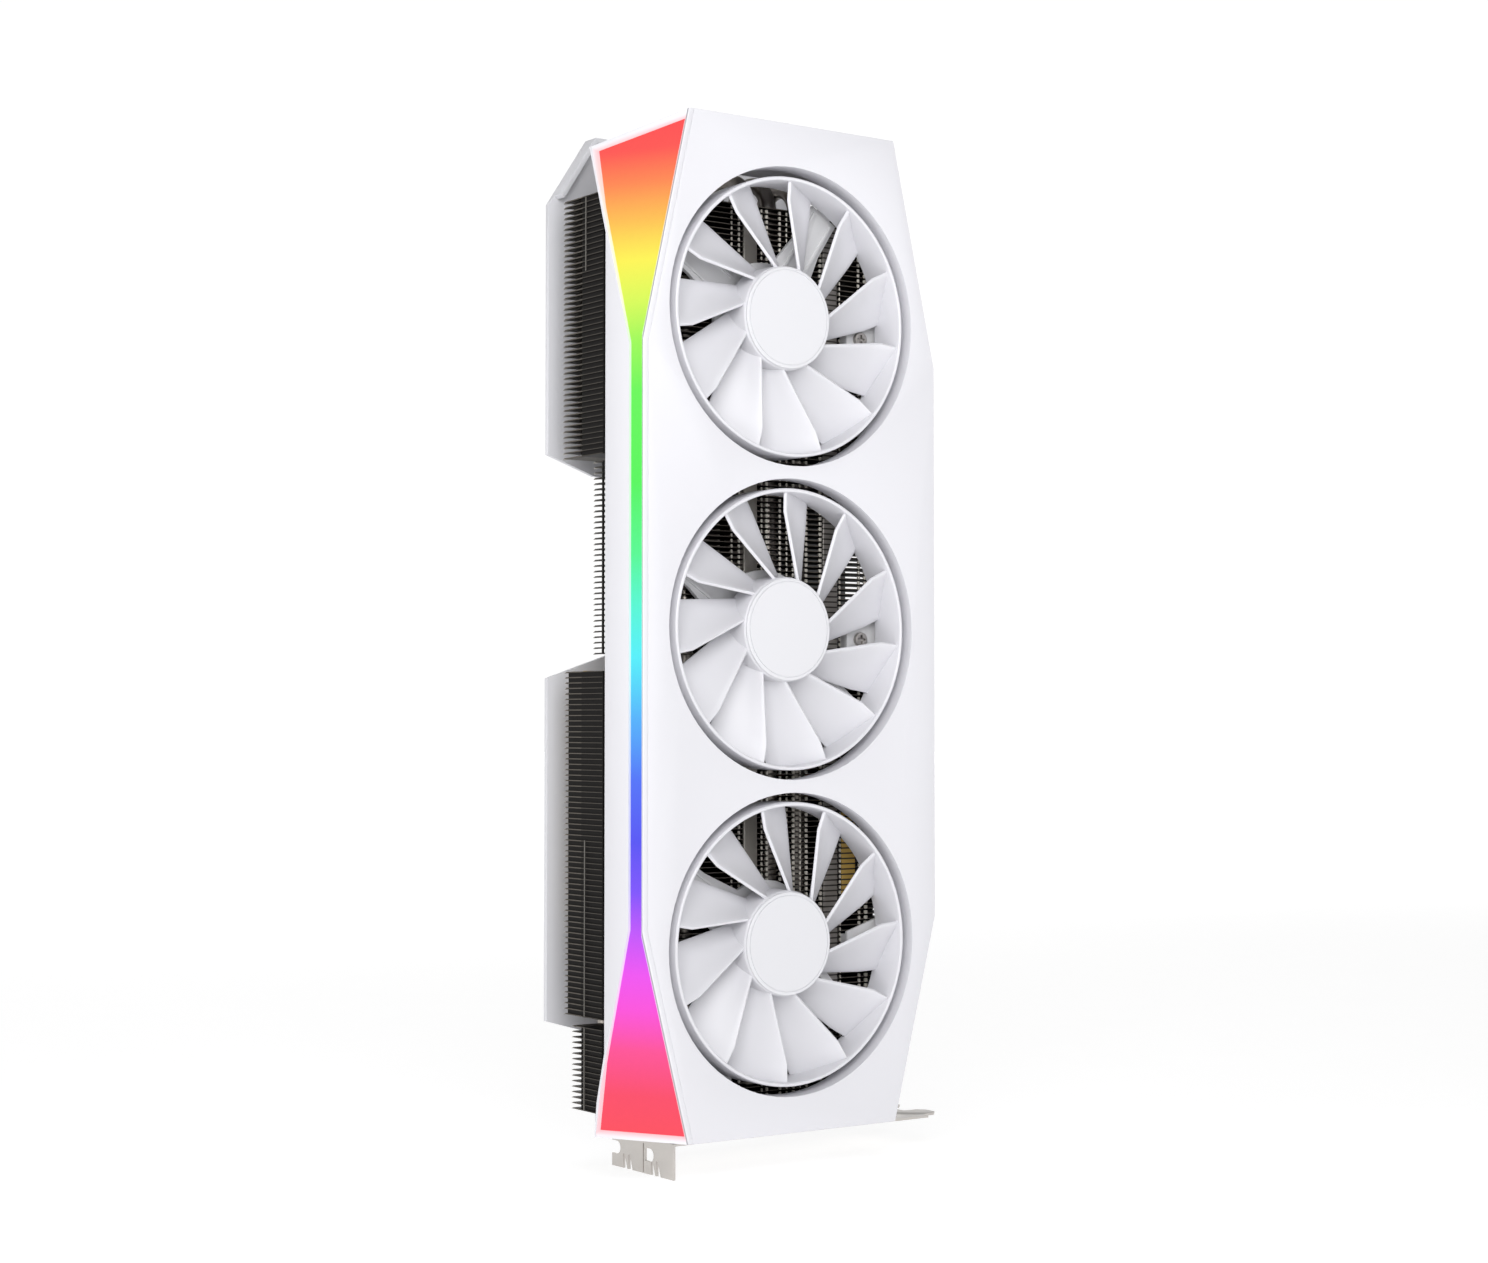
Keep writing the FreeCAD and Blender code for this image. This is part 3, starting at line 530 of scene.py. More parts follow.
@dataclass(frozen=True)
class GlowFinish(Finish):
    """Milky trim that takes up some of the lens's light near its edge."""

    glow: float = 0.12
    reach: float = 2.6
    band_d: float = 7.3
    flare_high: float = 270.0
    flare_high_slope: float = 0.3358
    flare_low: float = 76.0
    flare_low_slope: float = 0.3170
    top_z: float = 345.6
    top_lean: float = 0.262
    foot_z: float = 7.8
    seam: Colour = (0.22, 0.22, 0.24)

    def dress(self, shader: Shader) -> None:
        """Wires the finish into a shader.

        Args:
            shader: the material's nodes.
        """
        super().dress(shader)
        colour = shader.rainbow(RAINBOW)
        high_edge = self.band_d + (shader.z - self.flare_high).most(0.0) * self.flare_high_slope
        low_edge = self.band_d + (self.flare_low - shader.z).most(0.0) * self.flare_low_slope
        beyond = (shader.d - high_edge.most(low_edge)).most(0.0)
        top = (shader.z - (self.top_z - shader.d * self.top_lean)).most(0.0)
        bottom = (self.foot_z - shader.z).most(0.0)
        away = beyond.most(top).most(bottom)
        near = 1.0 - away.step(0.0, self.reach)
        side = shader.d.step(0.55, 0.75)
        seam = shader.d.line(0.15, 0.3, 0.6, 0.75)
        plain = shader.mix(seam * 0.75, self.colour, self.seam)
        glow = shader.mix(near * 0.75, (0.9, 0.9, 0.92), colour)
        shader.set(
            base_color=shader.mix(near * side * 0.42, plain, colour),
            emission_color=shader.mix(side, (0.0, 0.0, 0.0), glow),
            emission_strength=self.glow,
        )


class Paintbox:
    """Every finish on the card, made once."""

    def __init__(self) -> None:
        """Builds all the finishes."""
        fin_starts = {"": CORE_START, "_end": 12.4, "_power": 167.3, "_tail": 235.2}
        # the fins' near-black colour is painted shade of the gaps between the sheets; FinFinish adds
        # painted highlights on their edges
        fins = [
            FinFinish("fin_nickel" + tag, (0.006, 0.005, 0.0045), 0.5, 0.4, relief=0.04, start=start)
            for tag, start in fin_starts.items()
        ]
        finishes: List[Finish] = [
            *fins,
            Finish("shroud_white", WHITE, 0.42, mottle=0.012, relief=0.035),
            GlowFinish("trim_white", WHITE, 0.4, mottle=0.01, relief=0.02),
            RainbowFinish("light_lens", (0.02, 0.02, 0.02)),
            Finish("fan_white", WHITE, 0.36, mottle=0.012, relief=0.03),
            Finish("cap_white", (0.70, 0.70, 0.73), 0.3, mottle=0.01, relief=0.015),
            Finish("frame_grey", (0.70, 0.70, 0.71), 0.5, mottle=0.05, relief=0.08),
            Finish("bracket_grey", (0.68, 0.68, 0.69), 0.42, mottle=0.05, relief=0.06),
            Finish("screw_steel", (0.42, 0.40, 0.38), 0.32, 1.0, Grain.BRUSHED, 0.1, 0.1),
            Finish("standoff_brass", (0.72, 0.54, 0.26), 0.3, 1.0, Grain.BRUSHED, 0.06, 0.1),
            Finish("stator_dark", (0.03, 0.028, 0.03), 0.5, 0.0, Grain.MOULDED, 0.1, 0.2),
            Finish("pipe_nickel", (0.36, 0.33, 0.30), 0.28, 1.0, Grain.BRUSHED, 0.06, 0.06),
            Finish("copper", (0.70, 0.36, 0.22), 0.3, 1.0, Grain.BRUSHED, 0.06, 0.1),
            Finish("plate_grey", (0.62, 0.46, 0.16), 0.38, 0.9, Grain.MOULDED, 0.06, 0.1),
            Finish("board_dark", (0.012, 0.014, 0.016), 0.4, 0.0, Grain.MOULDED, 0.25, 0.2, 900.0, 0.3),
            Finish("contact_gold", (0.86, 0.62, 0.24), 0.25, 1.0, Grain.BRUSHED, 0.05, 0.05),
            Finish("chip_dark", (0.025, 0.025, 0.028), 0.55, 0.0, Grain.MOULDED, 0.12, 0.2),
            Finish("die_glossy", (0.10, 0.11, 0.13), 0.12, 0.3, Grain.MOULDED, 0.05, 0.01),
            Finish("pad_grey", (0.34, 0.37, 0.42), 0.8, 0.0, Grain.MOULDED, 0.1, 0.3),
            Finish("coil_grey", (0.10, 0.10, 0.105), 0.7, 0.0, Grain.MOULDED, 0.15, 0.4),
            Finish("can_metal", (0.62, 0.62, 0.65), 0.3, 1.0, Grain.BRUSHED, 0.05, 0.08),
            Finish("socket_black", (0.016, 0.016, 0.017), 0.38, 0.0, Grain.MOULDED, 0.1, 0.1),
            Finish("backplate_white", (0.66, 0.66, 0.69), 0.4, 0.0, Grain.MOULDED, 0.015, 0.06),
            Finish("brace_steel", (0.36, 0.36, 0.37), 0.38, 1.0, Grain.BRUSHED, 0.08, 0.12),
            Finish("bracket_nickel", (0.60, 0.57, 0.54), 0.34, 0.9, Grain.BRUSHED, 0.06, 0.06),
            Finish("port_steel", (0.50, 0.50, 0.51), 0.3, 1.0, Grain.BRUSHED, 0.08, 0.08),
            Finish("tip_nickel", (0.30, 0.28, 0.25), 0.35, 0.7, Grain.MOULDED, 0.08, 0.06),
            Finish("seam_nickel", (0.17, 0.16, 0.145), 0.5, 0.3, Grain.MOULDED, 0.1, 0.02),
            Finish("sleeve_nickel", (0.33, 0.31, 0.28), 0.38, 0.5, Grain.MOULDED, 0.05, 0.03),
            # these two carry painted shade lines between the fins
            LinedFinish("window_gold", (0.62, 0.41, 0.11), 0.4, 0.4, relief=0.03),
            LinedFinish("sleeve_lined", (0.30, 0.28, 0.26), 0.38, 0.5, relief=0.03),
            # a bright copy of the fins' nickel: painted highlight on the lock columns
            Finish("lock_painted_highlight", (0.78, 0.74, 0.66), 0.3, 0.35, Grain.MOULDED, 0.08, 0.06),
        ]
        self.materials = {finish.name: finish.make() for finish in finishes}

    def paint(self, piece: bpy.types.Object, name: str) -> None:
        """Gives a piece one finish.

        Args:
            piece: the object to paint.
            name: the finish's name.
        """
        piece.data.materials.clear()
        piece.data.materials.append(self.materials[name])


# ---------------------------------------------------------------- modelling helpers
def deselect() -> None:
    """Leaves edit mode and selects nothing."""
    if bpy.context.object and bpy.context.object.mode != "OBJECT":
        bpy.ops.object.mode_set(mode="OBJECT")
    bpy.ops.object.select_all(action="DESELECT")


def pick(piece: bpy.types.Object) -> None:
    """Makes one object the only selected and active one.

    Args:
        piece: the object to pick.
    """
    deselect()
    piece.select_set(True)
    bpy.context.view_layer.objects.active = piece


def apply_modifiers(piece: bpy.types.Object) -> None:
    """Applies every modifier of a piece in order.

    Args:
        piece: the object to finish.
    """
    pick(piece)
    for modifier in list(piece.modifiers):
        bpy.ops.object.modifier_apply(modifier=modifier.name)


def settle(piece: bpy.types.Object) -> None:
    """Moves a piece's place into its mesh.

    Args:
        piece: the object to settle.
    """
    pick(piece)
    bpy.ops.object.transform_apply(location=True, rotation=True, scale=True)


def smooth(piece: bpy.types.Object, degrees: float = 32.0) -> None:
    """Shades a piece smooth except over sharp edges.

    Args:
        piece: the object to shade.
        degrees: the largest angle that is smoothed.
    """
    pick(piece)
    bpy.ops.object.shade_smooth_by_angle(angle=math.radians(degrees))


def round_edges(piece: bpy.types.Object, width: float, segments: int, limit: float = 30.0) -> None:
    """Adds a bevel to a piece's sharp edges.

    Args:
        piece: the piece to round.
        width: the bevel's width in millimetres.
        segments: the bevel's segments.
        limit: the smallest edge angle that is rounded, in degrees.
    """
    bevel = piece.modifiers.new("round", "BEVEL")
    bevel.width = width * MM
    bevel.segments = segments
    bevel.limit_method = "ANGLE"
    bevel.angle_limit = math.radians(limit)


def repeat_up(piece: bpy.types.Object, count: int) -> None:
    """Repeats a piece up the card, once per fin.

    Args:
        piece: the piece to repeat.
        count: how many there are in all.
    """
    rows = piece.modifiers.new("rows", "ARRAY")
    rows.use_relative_offset = False
    rows.use_constant_offset = True
    rows.constant_offset_displace = (0.0, 0.0, FIN_PITCH * MM)
    rows.count = count


def softened(node: str, width: float, segments: int = 2, limit: float = 40.0) -> bpy.types.Object:
    """A copy of a CAD node with its sharp edges rounded.

    Args:
        node: the CAD node's name.
        width: the bevel's width in millimetres.
        segments: the bevel's segments.
        limit: the smallest edge angle that is rounded, in degrees.

    Returns:
        The rounded copy, at the origin.
    """
    source = frame["nodes"][node]
    piece = source.copy()
    piece.data = source.data.copy()
    piece.name = node + "_finished"
    piece.parent = None
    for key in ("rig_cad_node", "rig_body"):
        if key in piece:
            del piece[key]
    bpy.context.scene.collection.objects.link(piece)
    pick(piece)
    bpy.ops.object.mode_set(mode="EDIT")
    bpy.ops.mesh.select_all(action="SELECT")
    bpy.ops.mesh.customdata_custom_splitnormals_clear()
    bpy.ops.mesh.remove_doubles(threshold=1e-6)
    bpy.ops.mesh.dissolve_limited(angle_limit=math.radians(0.5))
    bpy.ops.object.mode_set(mode="OBJECT")
    round_edges(piece, width, segments, limit)
    apply_modifiers(piece)
    smooth(piece)
    return piece


def tidy_normals(piece: bpy.types.Object, merge: float = 0.0) -> None:
    """Turns every face outwards, after merging near points.

    Args:
        piece: the piece to mend.
        merge: the distance within which points are merged, in metres; 0 merges none.
    """
    pick(piece)
    bpy.ops.object.mode_set(mode="EDIT")
    bpy.ops.mesh.select_all(action="SELECT")
    if merge > 0.0:
        bpy.ops.mesh.remove_doubles(threshold=merge)
    bpy.ops.mesh.normals_make_consistent(inside=False)
    bpy.ops.object.mode_set(mode="OBJECT")


def turned(
    name: str, profile: Sequence[Tuple[float, float]], centre_z: float, segments: int = 96
) -> bpy.types.Object:
    """A piece turned about a line along Y.

    Args:
        name: the piece's name.
        profile: radius and depth pairs in millimetres; it closes on itself or on the axis.
        centre_z: the height of the axis in millimetres.
        segments: the number of sides.

    Returns:
        The turned piece, closed.
    """
    deselect()
    first_r, first_d = profile[0]
    centre = (0.0, depth(first_d), centre_z * MM)
    bpy.ops.mesh.primitive_circle_add(
        vertices=segments,
        radius=first_r * MM,
        fill_type="NOTHING",
        location=centre,
        rotation=(math.pi / 2, 0, 0),
    )
    piece = bpy.context.object
    piece.name = name
    settle(piece)
    bpy.ops.object.mode_set(mode="EDIT")
    bpy.ops.mesh.select_all(action="SELECT")
    radius, place = first_r, first_d
    for r, d in profile[1:]:
        move = {"value": (0.0, (d - place) * MM, 0.0)}
        bpy.ops.mesh.extrude_edges_move(TRANSFORM_OT_translate=move)
        scale = (r / radius, 1.0, r / radius)
        bpy.ops.transform.resize(value=scale, center_override=(0.0, depth(d), centre_z * MM))
        radius, place = r, d
    bpy.ops.object.mode_set(mode="OBJECT")
    tidy_normals(piece, 2e-6)
    return piece


def block(name: str, low: Sequence[float], high: Sequence[float]) -> bpy.types.Object:
    """A box between two corners given as X, depth and Z in millimetres.

    Args:
        name: the piece's name.
        low: the lowest corner.
        high: the highest corner.

    Returns:
        The box, settled.
    """
    deselect()
    x, d, z = ((a + b) / 2 for a, b in zip(low, high))
    size = [(b - a) * MM for a, b in zip(low, high)]
    bpy.ops.mesh.primitive_cube_add(size=1.0, location=(x * MM, depth(d), z * MM), scale=size)
    piece = bpy.context.object
    piece.name = name
    settle(piece)
    return piece


def joined(name: str, pieces: Sequence[bpy.types.Object]) -> bpy.types.Object:
    """Joins pieces into one object.

    Args:
        name: the joined object's name.
        pieces: the objects to join.

    Returns:
        The joined object.
    """
    deselect()
    for piece in pieces:
        piece.select_set(True)
    bpy.context.view_layer.objects.active = pieces[0]
    bpy.ops.object.join()
    pieces[0].name = name
    return pieces[0]


@dataclass
class Assembly:
    """Shared behaviour of the sub-assemblies."""

    paints: Paintbox

    def fit(
        self, piece: bpy.types.Object, body: Body, slot: str, *nodes: str, finish: str = ""
    ) -> None:
        """Paints a piece, rides it with its body and hides the CAD nodes it stands for.

        Args:
            piece: the new piece.
            body: the body it moves with.
            slot: the record's material slot, used as its finish when none is given.
            nodes: the CAD nodes it replaces.
            finish: a finish of its own.
        """
        self.paints.paint(piece, finish or slot)
        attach(piece, body.value)
        if nodes:
            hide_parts(*nodes)
        log.info("made %s: %d faces", piece.name, len(piece.data.polygons))


@dataclass
class Shell(Assembly):
    """The shroud, the lit bar and the backplate."""

    edge_round: float = 0.7
    trim_round: float = 0.25
    plate_round: float = 0.4

    def build(self) -> None:
        """Makes the shell's pieces."""
        self.fit(softened("shroud", self.edge_round, 3), Body.CARD, "shroud_white", "shroud")
        self.fit(softened("light_frame", self.trim_round), Body.CARD, "trim_white", "light_frame")
        self.fit(softened("backplate", self.plate_round), Body.CARD, "backplate_white", "backplate")


@dataclass
class Fan(Assembly):
    """One fan: ring, twisted blades, hub and cap."""

    name: str
    body: Body
    centre_z: float
    ring_angle: float
    ring_r: float = 48.3
    ring_wall: float = 1.4
    hub_r: float = 18.0
    kink_r: float = 40.5
    fold_share: float = 0.75
    camber: float = 0.065
    blades: int = 11
    thickness: float = 1.15
    edge_round: float = 0.32
    steps_out: int = 16
    steps_back: int = 10

    def build(self) -> None:
        """Makes the rotor and the cap."""
        node = "fan_rotor_" + self.name
        rotor = joined(node + "_finished", [self.ring(), self.hub(), *self.blade_set()])
        smooth(rotor, 35.0)
        self.fit(rotor, self.body, "fan_white", node)
        self.fit(self.cap(), self.body, "cap_white", "hub_cap_" + self.name)

    def ring(self) -> bpy.types.Object:
        """The ring that joins the blade tips.

        Returns:
            The ring.
        """
        outer, inner = self.ring_r, self.ring_r - self.ring_wall
        profile = [
            (inner, 15.0), (inner, 1.7), (inner + 0.15, 1.25), (inner + 0.5, 1.0),
            (outer - 0.5, 1.0), (outer - 0.15, 1.25), (outer, 1.7), (outer, 15.0), (inner, 15.0),
        ]
        return turned("ring", profile, self.centre_z, 128)

    def hub(self) -> bpy.types.Object:
        """The cup that carries the blades.

        Returns:
            The hub.
        """
        r = self.hub_r
        profile = [
            (r - 1.6, 15.0), (r - 1.6, 5.8), (0.02, 5.8), (0.02, 4.02), (r - 0.9, 4.02), (r - 0.5, 4.12),
            (r - 0.15, 4.4), (r, 4.9), (r + 0.25, 9.0), (r + 0.35, 15.0), (r - 1.6, 15.0),
        ]
        return turned("hub", profile, self.centre_z)

    def cap(self) -> bpy.types.Object:
        """The flat disc on the hub, with a fine groove near its rim.

        Returns:
            The cap.
        """
        r = self.hub_r - 0.4
        profile = [
            (0.02, 3.98), (r, 3.98), (r, 3.45), (r - 0.12, 3.28), (r - 0.3, 3.2), (r - 1.05, 3.2),
            (r - 1.08, 3.42), (r - 1.3, 3.42), (r - 1.33, 3.2), (0.02, 3.2),
        ]
        piece = turned("hub_cap_" + self.name + "_finished", profile, self.centre_z)
        tidy_normals(piece, 3e-5)
        smooth(piece, 40.0)
        return piece

    def section_point(self, section: Tuple[float, ...], back: float) -> Vector:
        """A point on one of the blade's straight-chorded sections.

        Args:
            section: radius, front angle, front depth, back angle and back depth.
            back: share of the way from the front edge to the back edge.

        Returns:
            The point in millimetres, with its depth along Y.
        """
        radius, front_angle, front_d, back_angle, back_d = section
        first, last = math.radians(front_angle), math.radians(back_angle)
        front = Vector((radius * math.cos(first), front_d, radius * math.sin(first)))
        rear = Vector((radius * math.cos(last), back_d, radius * math.sin(last)))
        bow = self.camber * (rear - front).length * math.sin(math.pi * back)
        return front.lerp(rear, back) + Vector((0.0, bow, 0.0))

    def blade_point(self, out: float, back: float) -> Vector:
        """A point of the blade's middle surface.

        Args:
            out: share of the way from the hub to the ring.
            back: share of the way from the front edge to the back edge.

        Returns:
            The point, in metres, for a blade whose ring end is at angle 0.
        """
        root, fold, tip = (
            self.section_point(section, back)
            for section in (
                (self.hub_r - 1.2, -21.5, 5.0, -49.0, 14.0),
                (self.kink_r, 0.0, 3.0, -24.5, 14.2),
                (self.ring_r + 1.4, 0.0, 2.2, -20.5, 13.6),
            )
        )
        if out <= self.fold_share:
            return root.lerp(fold, out / self.fold_share) * MM
        low, high = 0.0, 1.0
        for _ in range(24):  # halves the gap until the point lies on the ring's wall
            middle = (low + high) / 2
            place = fold.lerp(tip, middle)
            if math.hypot(place.x, place.z) < self.ring_r - self.ring_wall / 2:
                low = middle
            else:
                high = middle
        share = (out - self.fold_share) / (1.0 - self.fold_share)
        return fold.lerp(tip, low * share) * MM

    def blade_set(self) -> List[bpy.types.Object]:
        """All the blades, one modelled and the rest copied.

        Returns:
            The blades.
        """
        deselect()
        bpy.ops.mesh.primitive_grid_add(
            x_subdivisions=self.steps_out, y_subdivisions=self.steps_back, size=2.0
        )
        first = bpy.context.object
        for vertex in first.data.vertices:
            out, back = (vertex.co.x + 1) / 2, (vertex.co.y + 1) / 2
            vertex.co = self.blade_point(out, back)
        thick = first.modifiers.new("thick", "SOLIDIFY")
        thick.thickness = self.thickness * MM
        thick.offset = 0.0
        round_edges(first, self.edge_round, 2, 50.0)
        apply_modifiers(first)
        tidy_normals(first)
        blades = []
        for index in range(self.blades):
            piece = first.copy()
            piece.data = first.data.copy()
            bpy.context.scene.collection.objects.link(piece)
            angle = math.radians(self.ring_angle + index * 360.0 / self.blades)
            piece.rotation_euler = (0.0, -angle, 0.0)
            piece.location = (0.0, depth(0.0), self.centre_z * MM)
            settle(piece)
            blades.append(piece)
        bpy.data.objects.remove(first)
        return blades


@dataclass
class FinStacks(Assembly):
    """What sits on the fins: lock columns in a bright copy of the fin metal as painted highlight, pipe
    sleeves, side seams and bent tips.
    """

    columns: Tuple[Tuple[float, float], ...] = (
        (-50.0, 0.5), (-11.2, 0.4), (-8.1, 0.6), (1.6, 0.4), (3.8, 0.9), (9.5, 0.8), (12.4, 0.4),
        (15.3, 0.9), (18.2, 0.4), (21.0, 0.9), (27.2, 1.0), (35.9, 0.4), (44.5, 0.8), (47.5, 1.2),
    )
    sleeves: Tuple[Tuple[float, float, str], ...] = (
        (-3.2, 5.8, "sleeve_nickel"),
        (31.6, 6.4, "sleeve_lined"),
    )
    window_low: Tuple[float, float, float] = (36.6, 21.35, 77.0)
    window_high: Tuple[float, float, float] = (42.6, 21.95, 114.0)
    lock_d: Tuple[float, float] = (21.15, 22.1)
    sleeve_d: Tuple[float, float] = (21.3, 22.4)
    seams: Tuple[Tuple[float, float], ...] = ((12.5, 40.6), (44.2, 104.0), (299.0, 324.6))
    seam_d: float = 41.2
    tip_reach: float = 1.3
    stacks: Tuple[Tuple[float, int, float], ...] = (
        (12.4, 16, 48.3), (CORE_START, 64, 53.5), (167.3, 36, 35.0), (235.2, 49, 54.9),
    )

    def build(self) -> None:
        """Makes all the small pieces."""
        self.locks()
        self.pipe_sleeves()
        self.memory_window()
        self.side_seams()
        self.tips()

    def fit_fins(self, piece: bpy.types.Object, finish: str) -> None:
        """Fits a piece that belongs to the fins.

        Args:
            piece: the new piece.
            finish: its finish.
        """
        self.fit(piece, Body.CARD, "fin_nickel", finish=finish)

    def pipe_sleeves(self) -> None:
        """Makes the smooth sleeves that cover two pipes where they show between the fins."""
        for number, (x, wide, finish) in enumerate(self.sleeves):
            pieces = []
            for start, count, _ in self.stacks[1:]:
                top = start + (count - 1) * FIN_PITCH
                front, back = self.sleeve_d
                low, high = (x - wide / 2, front, start + 0.3), (x + wide / 2, back, top)
                piece = block("sleeve", low, high)
                round_edges(piece, 0.45, 3)
                apply_modifiers(piece)
                pieces.append(piece)
            sleeve = joined("pipe_sleeve_" + str(number + 1), pieces)
            smooth(sleeve)
            self.fit(sleeve, Body.CARD, "pipe_nickel", finish=finish)

    def side_seams(self) -> None:
        """Makes the thin line along the fins' side edges where their bent tabs hook together."""
        pieces = []
        for low, high in self.seams:
            for side in (-1.0, 1.0):
                near, far = sorted((side * (FIN_SIDE_X - 0.1), side * (FIN_SIDE_X + 0.1)))
                front, back = self.seam_d - 0.2, self.seam_d + 0.2
                pieces.append(block("seam", (near, front, low), (far, back, high)))
        self.fit_fins(joined("fin_side_seams", pieces), "seam_nickel")

    def memory_window(self) -> None:
        """Makes the gold strip that shows where the memory plate is seen through the fins."""
        strip = block("memory_window", self.window_low, self.window_high)
        round_edges(strip, 0.15, 2)
        apply_modifiers(strip)
        self.fit_fins(strip, "window_gold")

    def tip(self, side: float, start: float, back: float) -> bpy.types.Object:
        """One bent tip, its back end narrowed and bent outwards.

        Args:
            side: -1 on the lit side, 1 on the other.
            start: the height of the stack's first fin.
            back: the depth of the fins' back edges.

        Returns:
            The tip.
        """
        near, far = sorted((side * FIN_SIDE_X, side * (FIN_SIDE_X - 2.3)))
        piece = block("tip", (near, back - 0.2, start), (far, back + self.tip_reach, start + 0.4))
        pick(piece)
        bpy.ops.object.mode_set(mode="EDIT")
        bpy.ops.mesh.select_all(action="DESELECT")
        bpy.ops.object.mode_set(mode="OBJECT")
        for face in piece.data.polygons:
            face.select = face.normal.y > 0.9
        bpy.ops.object.mode_set(mode="EDIT")
        bpy.ops.transform.resize(value=(0.25, 1.0, 0.5))
        bpy.ops.transform.translate(value=(side * 0.6 * MM, 0.0, -0.25 * MM))
        bpy.ops.object.mode_set(mode="OBJECT")
        return piece

    def tips(self) -> None:
        """Makes the small bent tips at the back edges of the fins, on both sides."""
        for side, word in ((-1.0, "left"), (1.0, "right")):
            rows = []
            for start, count, back in self.stacks:
                tip = self.tip(side, start, back)
                repeat_up(tip, count)
                apply_modifiers(tip)
                rows.append(tip)
            self.fit_fins(joined("fin_tips_" + word, rows), "tip_nickel")

    def locks(self) -> None:
        """Makes the columns of locks behind the fans, in a bright copy of the fin metal that is painted
        highlight.
        """
        for number, (start, count, _) in enumerate(self.stacks):
            locks = []
            for x, wide in self.columns:
                front, back = self.lock_d
                low, high = (x - wide / 2, front, start + 0.1), (x + wide / 2, back, start + 1.3)
                lock = block("lock", low, high)
                round_edges(lock, 0.12, 1)
                repeat_up(lock, count - 1)
                apply_modifiers(lock)
                locks.append(lock)
            # the lock columns take a bright copy of the fin metal as painted highlight
            self.fit_fins(joined("fin_locks_" + str(number + 1), locks), "lock_painted_highlight")


@dataclass
class Metalwork(Assembly):
    """The slot bracket and the small frames, with rounded edges."""

    parts: Tuple[Tuple[str, float, float, str], ...] = (
        ("slot_bracket", 0.12, 60.0, "bracket_nickel"),
        ("fan_frame_bracket_end", 0.35, 40.0, "frame_grey"),
        ("fan_frame_middle", 0.35, 40.0, "frame_grey"),
        ("fan_frame_tail", 0.35, 40.0, "frame_grey"),
        ("shroud_brackets", 0.3, 40.0, "bracket_grey"),
        ("shroud_bracket_screws", 0.12, 40.0, "screw_steel"),
    )

    def build(self) -> None:
        """Makes the rounded copies."""
        for node, width, limit, slot in self.parts:
            self.fit(softened(node, width, 2, limit), Body.CARD, slot, node)


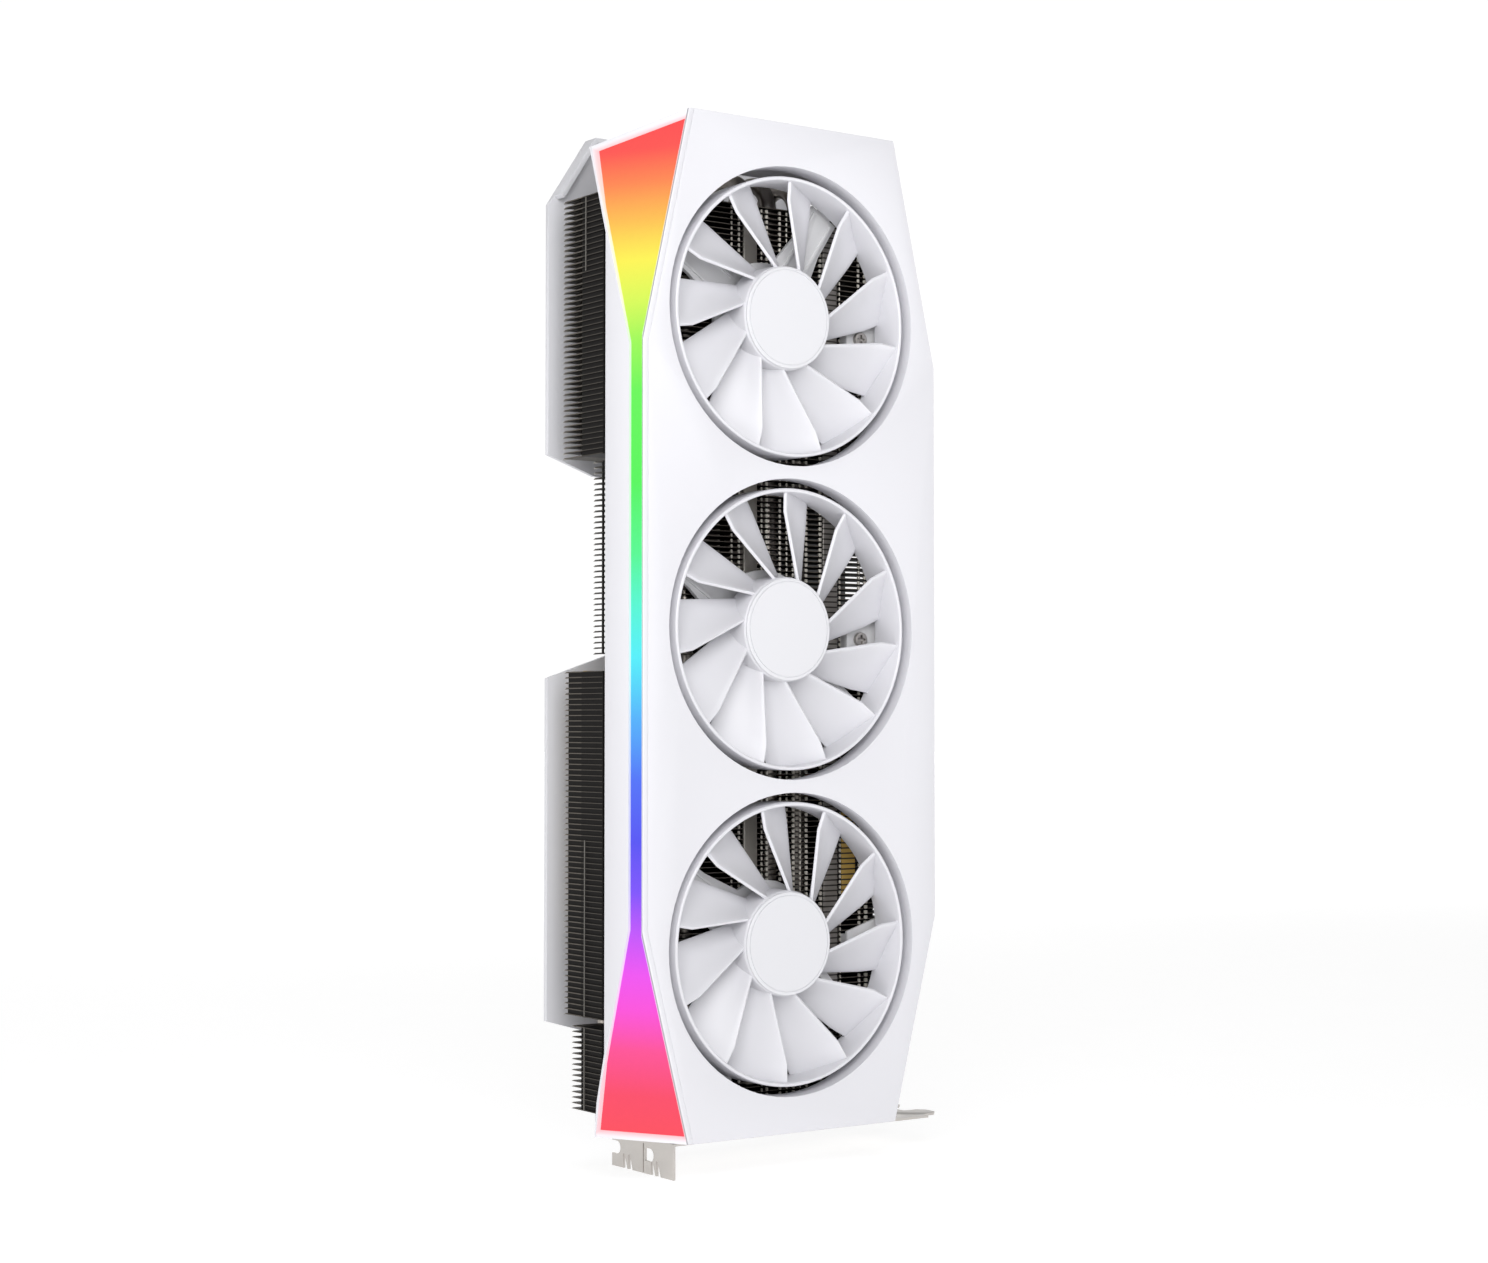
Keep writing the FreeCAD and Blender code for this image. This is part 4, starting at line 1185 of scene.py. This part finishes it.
@dataclass
class Studio:
    """Floor, lights and camera. Places are in metres and powers in watts."""

    floor_z: float = -11.6
    floor_size: float = 60.0
    wall_radius: float = 12.0
    wall_height: float = 6.4
    wall_middle: float = 1.3
    world: float = 0.2
    target: Tuple[float, float, float] = (0.0, 0.0, 0.17)
    lamps: Tuple[Tuple[str, Tuple[float, float, float], float, float], ...] = (
        ("key", (-0.4, -0.62, 0.45), 0.5, 3.6),
        ("side", (-1.5, 0.0, 0.35), 0.8, 3.0),
        ("back", (0.6, 1.5, 0.7), 0.9, 4.0),
    )
    eye: Tuple[float, float, float] = (-0.5230, -0.74965, 0.1448)
    yaw: float = 35.43
    pitch: float = 1.98
    focal: float = 62.23

    def build(self) -> None:
        """Makes the stage."""
        self.floor()
        self.lights()
        self.camera()

    def floor(self) -> None:
        """A plain pale floor and a round white wall about it."""
        deselect()
        bpy.ops.mesh.primitive_plane_add(
            size=self.floor_size, location=(0.0, 0.0, self.floor_z * MM)
        )
        plane = bpy.context.object
        plane.name = "floor"
        pale = StageFinish("floor_white", (0.45, 0.45, 0.45), 0.9, relief=0.01, near=0.80)
        plane.data.materials.append(pale.make())
        deselect()
        bpy.ops.mesh.primitive_cylinder_add(
            vertices=96,
            radius=self.wall_radius,
            depth=self.wall_height,
            end_fill_type="NOTHING",
            location=(0.0, 0.0, self.wall_middle),
        )
        wall = bpy.context.object
        wall.name = "backdrop"
        bright = StageFinish("backdrop_white", (0.05, 0.05, 0.05), 0.9, relief=0.01, glow=1.0)
        wall.data.materials.append(bright.make())

    def light(self, name: str, place: Sequence[float], size: float, power: float) -> None:
        """A square soft light that faces the card.

        Args:
            name: the light's name.
            place: where it hangs.
            size: the length of its side.
            power: its power.
        """
        lamp = bpy.data.lights.new(name, "AREA")
        lamp.shape = "SQUARE"
        lamp.size = size
        lamp.energy = power
        holder = bpy.data.objects.new(name, lamp)
        holder.location = place
        aim = Vector(self.target) - Vector(place)
        holder.rotation_euler = aim.to_track_quat("-Z", "Y").to_euler()
        bpy.context.scene.collection.objects.link(holder)

    def lights(self) -> None:
        """Soft light from the front, the left and behind, over a dim world."""
        world = bpy.data.worlds.new("studio")
        bpy.context.scene.world = world
        world.use_nodes = True
        sky = world.node_tree.nodes["Background"]
        sky.inputs["Color"].default_value = (1.0, 1.0, 1.0, 1.0)
        sky.inputs["Strength"].default_value = self.world
        for name, place, size, power in self.lamps:
            self.light(name, place, size, power)

    def camera(self) -> None:
        """The camera in front of the card, to its left, level with its lower half."""
        lens = bpy.data.cameras.new("camera")
        lens.lens = self.focal
        lens.sensor_width = 36.0
        lens.clip_start = 0.01
        holder = bpy.data.objects.new("camera", lens)
        holder.location = self.eye
        yaw, pitch = math.radians(self.yaw), math.radians(self.pitch)
        flat = math.cos(pitch)
        forward = Vector((math.sin(yaw) * flat, math.cos(yaw) * flat, math.sin(pitch)))
        holder.rotation_euler = forward.to_track_quat("-Z", "Y").to_euler()
        bpy.context.scene.collection.objects.link(holder)
        bpy.context.scene.camera = holder


def dress_nodes(paints: Paintbox) -> None:
    """Gives every CAD node that still shows its own finish.

    Args:
        paints: the finishes.
    """
    slots = {part["node"]: part["material_slot"] for part in frame["record"]["subparts"]}
    slots["fins_bracket_end"] = "fin_nickel_end"
    slots["fins_power"] = "fin_nickel_power"
    slots["fins_tail"] = "fin_nickel_tail"
    for name, node in frame["nodes"].items():
        paints.paint(node, slots[name])
        log.info("dressed %s as %s", name, slots[name])


def main() -> None:
    """Builds the looks around the frame."""
    paints = Paintbox()
    dress_nodes(paints)
    Shell(paints).build()
    for name, body, centre_z, ring_angle in FANS:
        Fan(paints, name, body, centre_z, ring_angle).build()
    FinStacks(paints).build()
    Metalwork(paints).build()
    Studio().build()
    bpy.context.scene.view_settings.view_transform = "Standard"


if __name__ == "__main__":
    main()
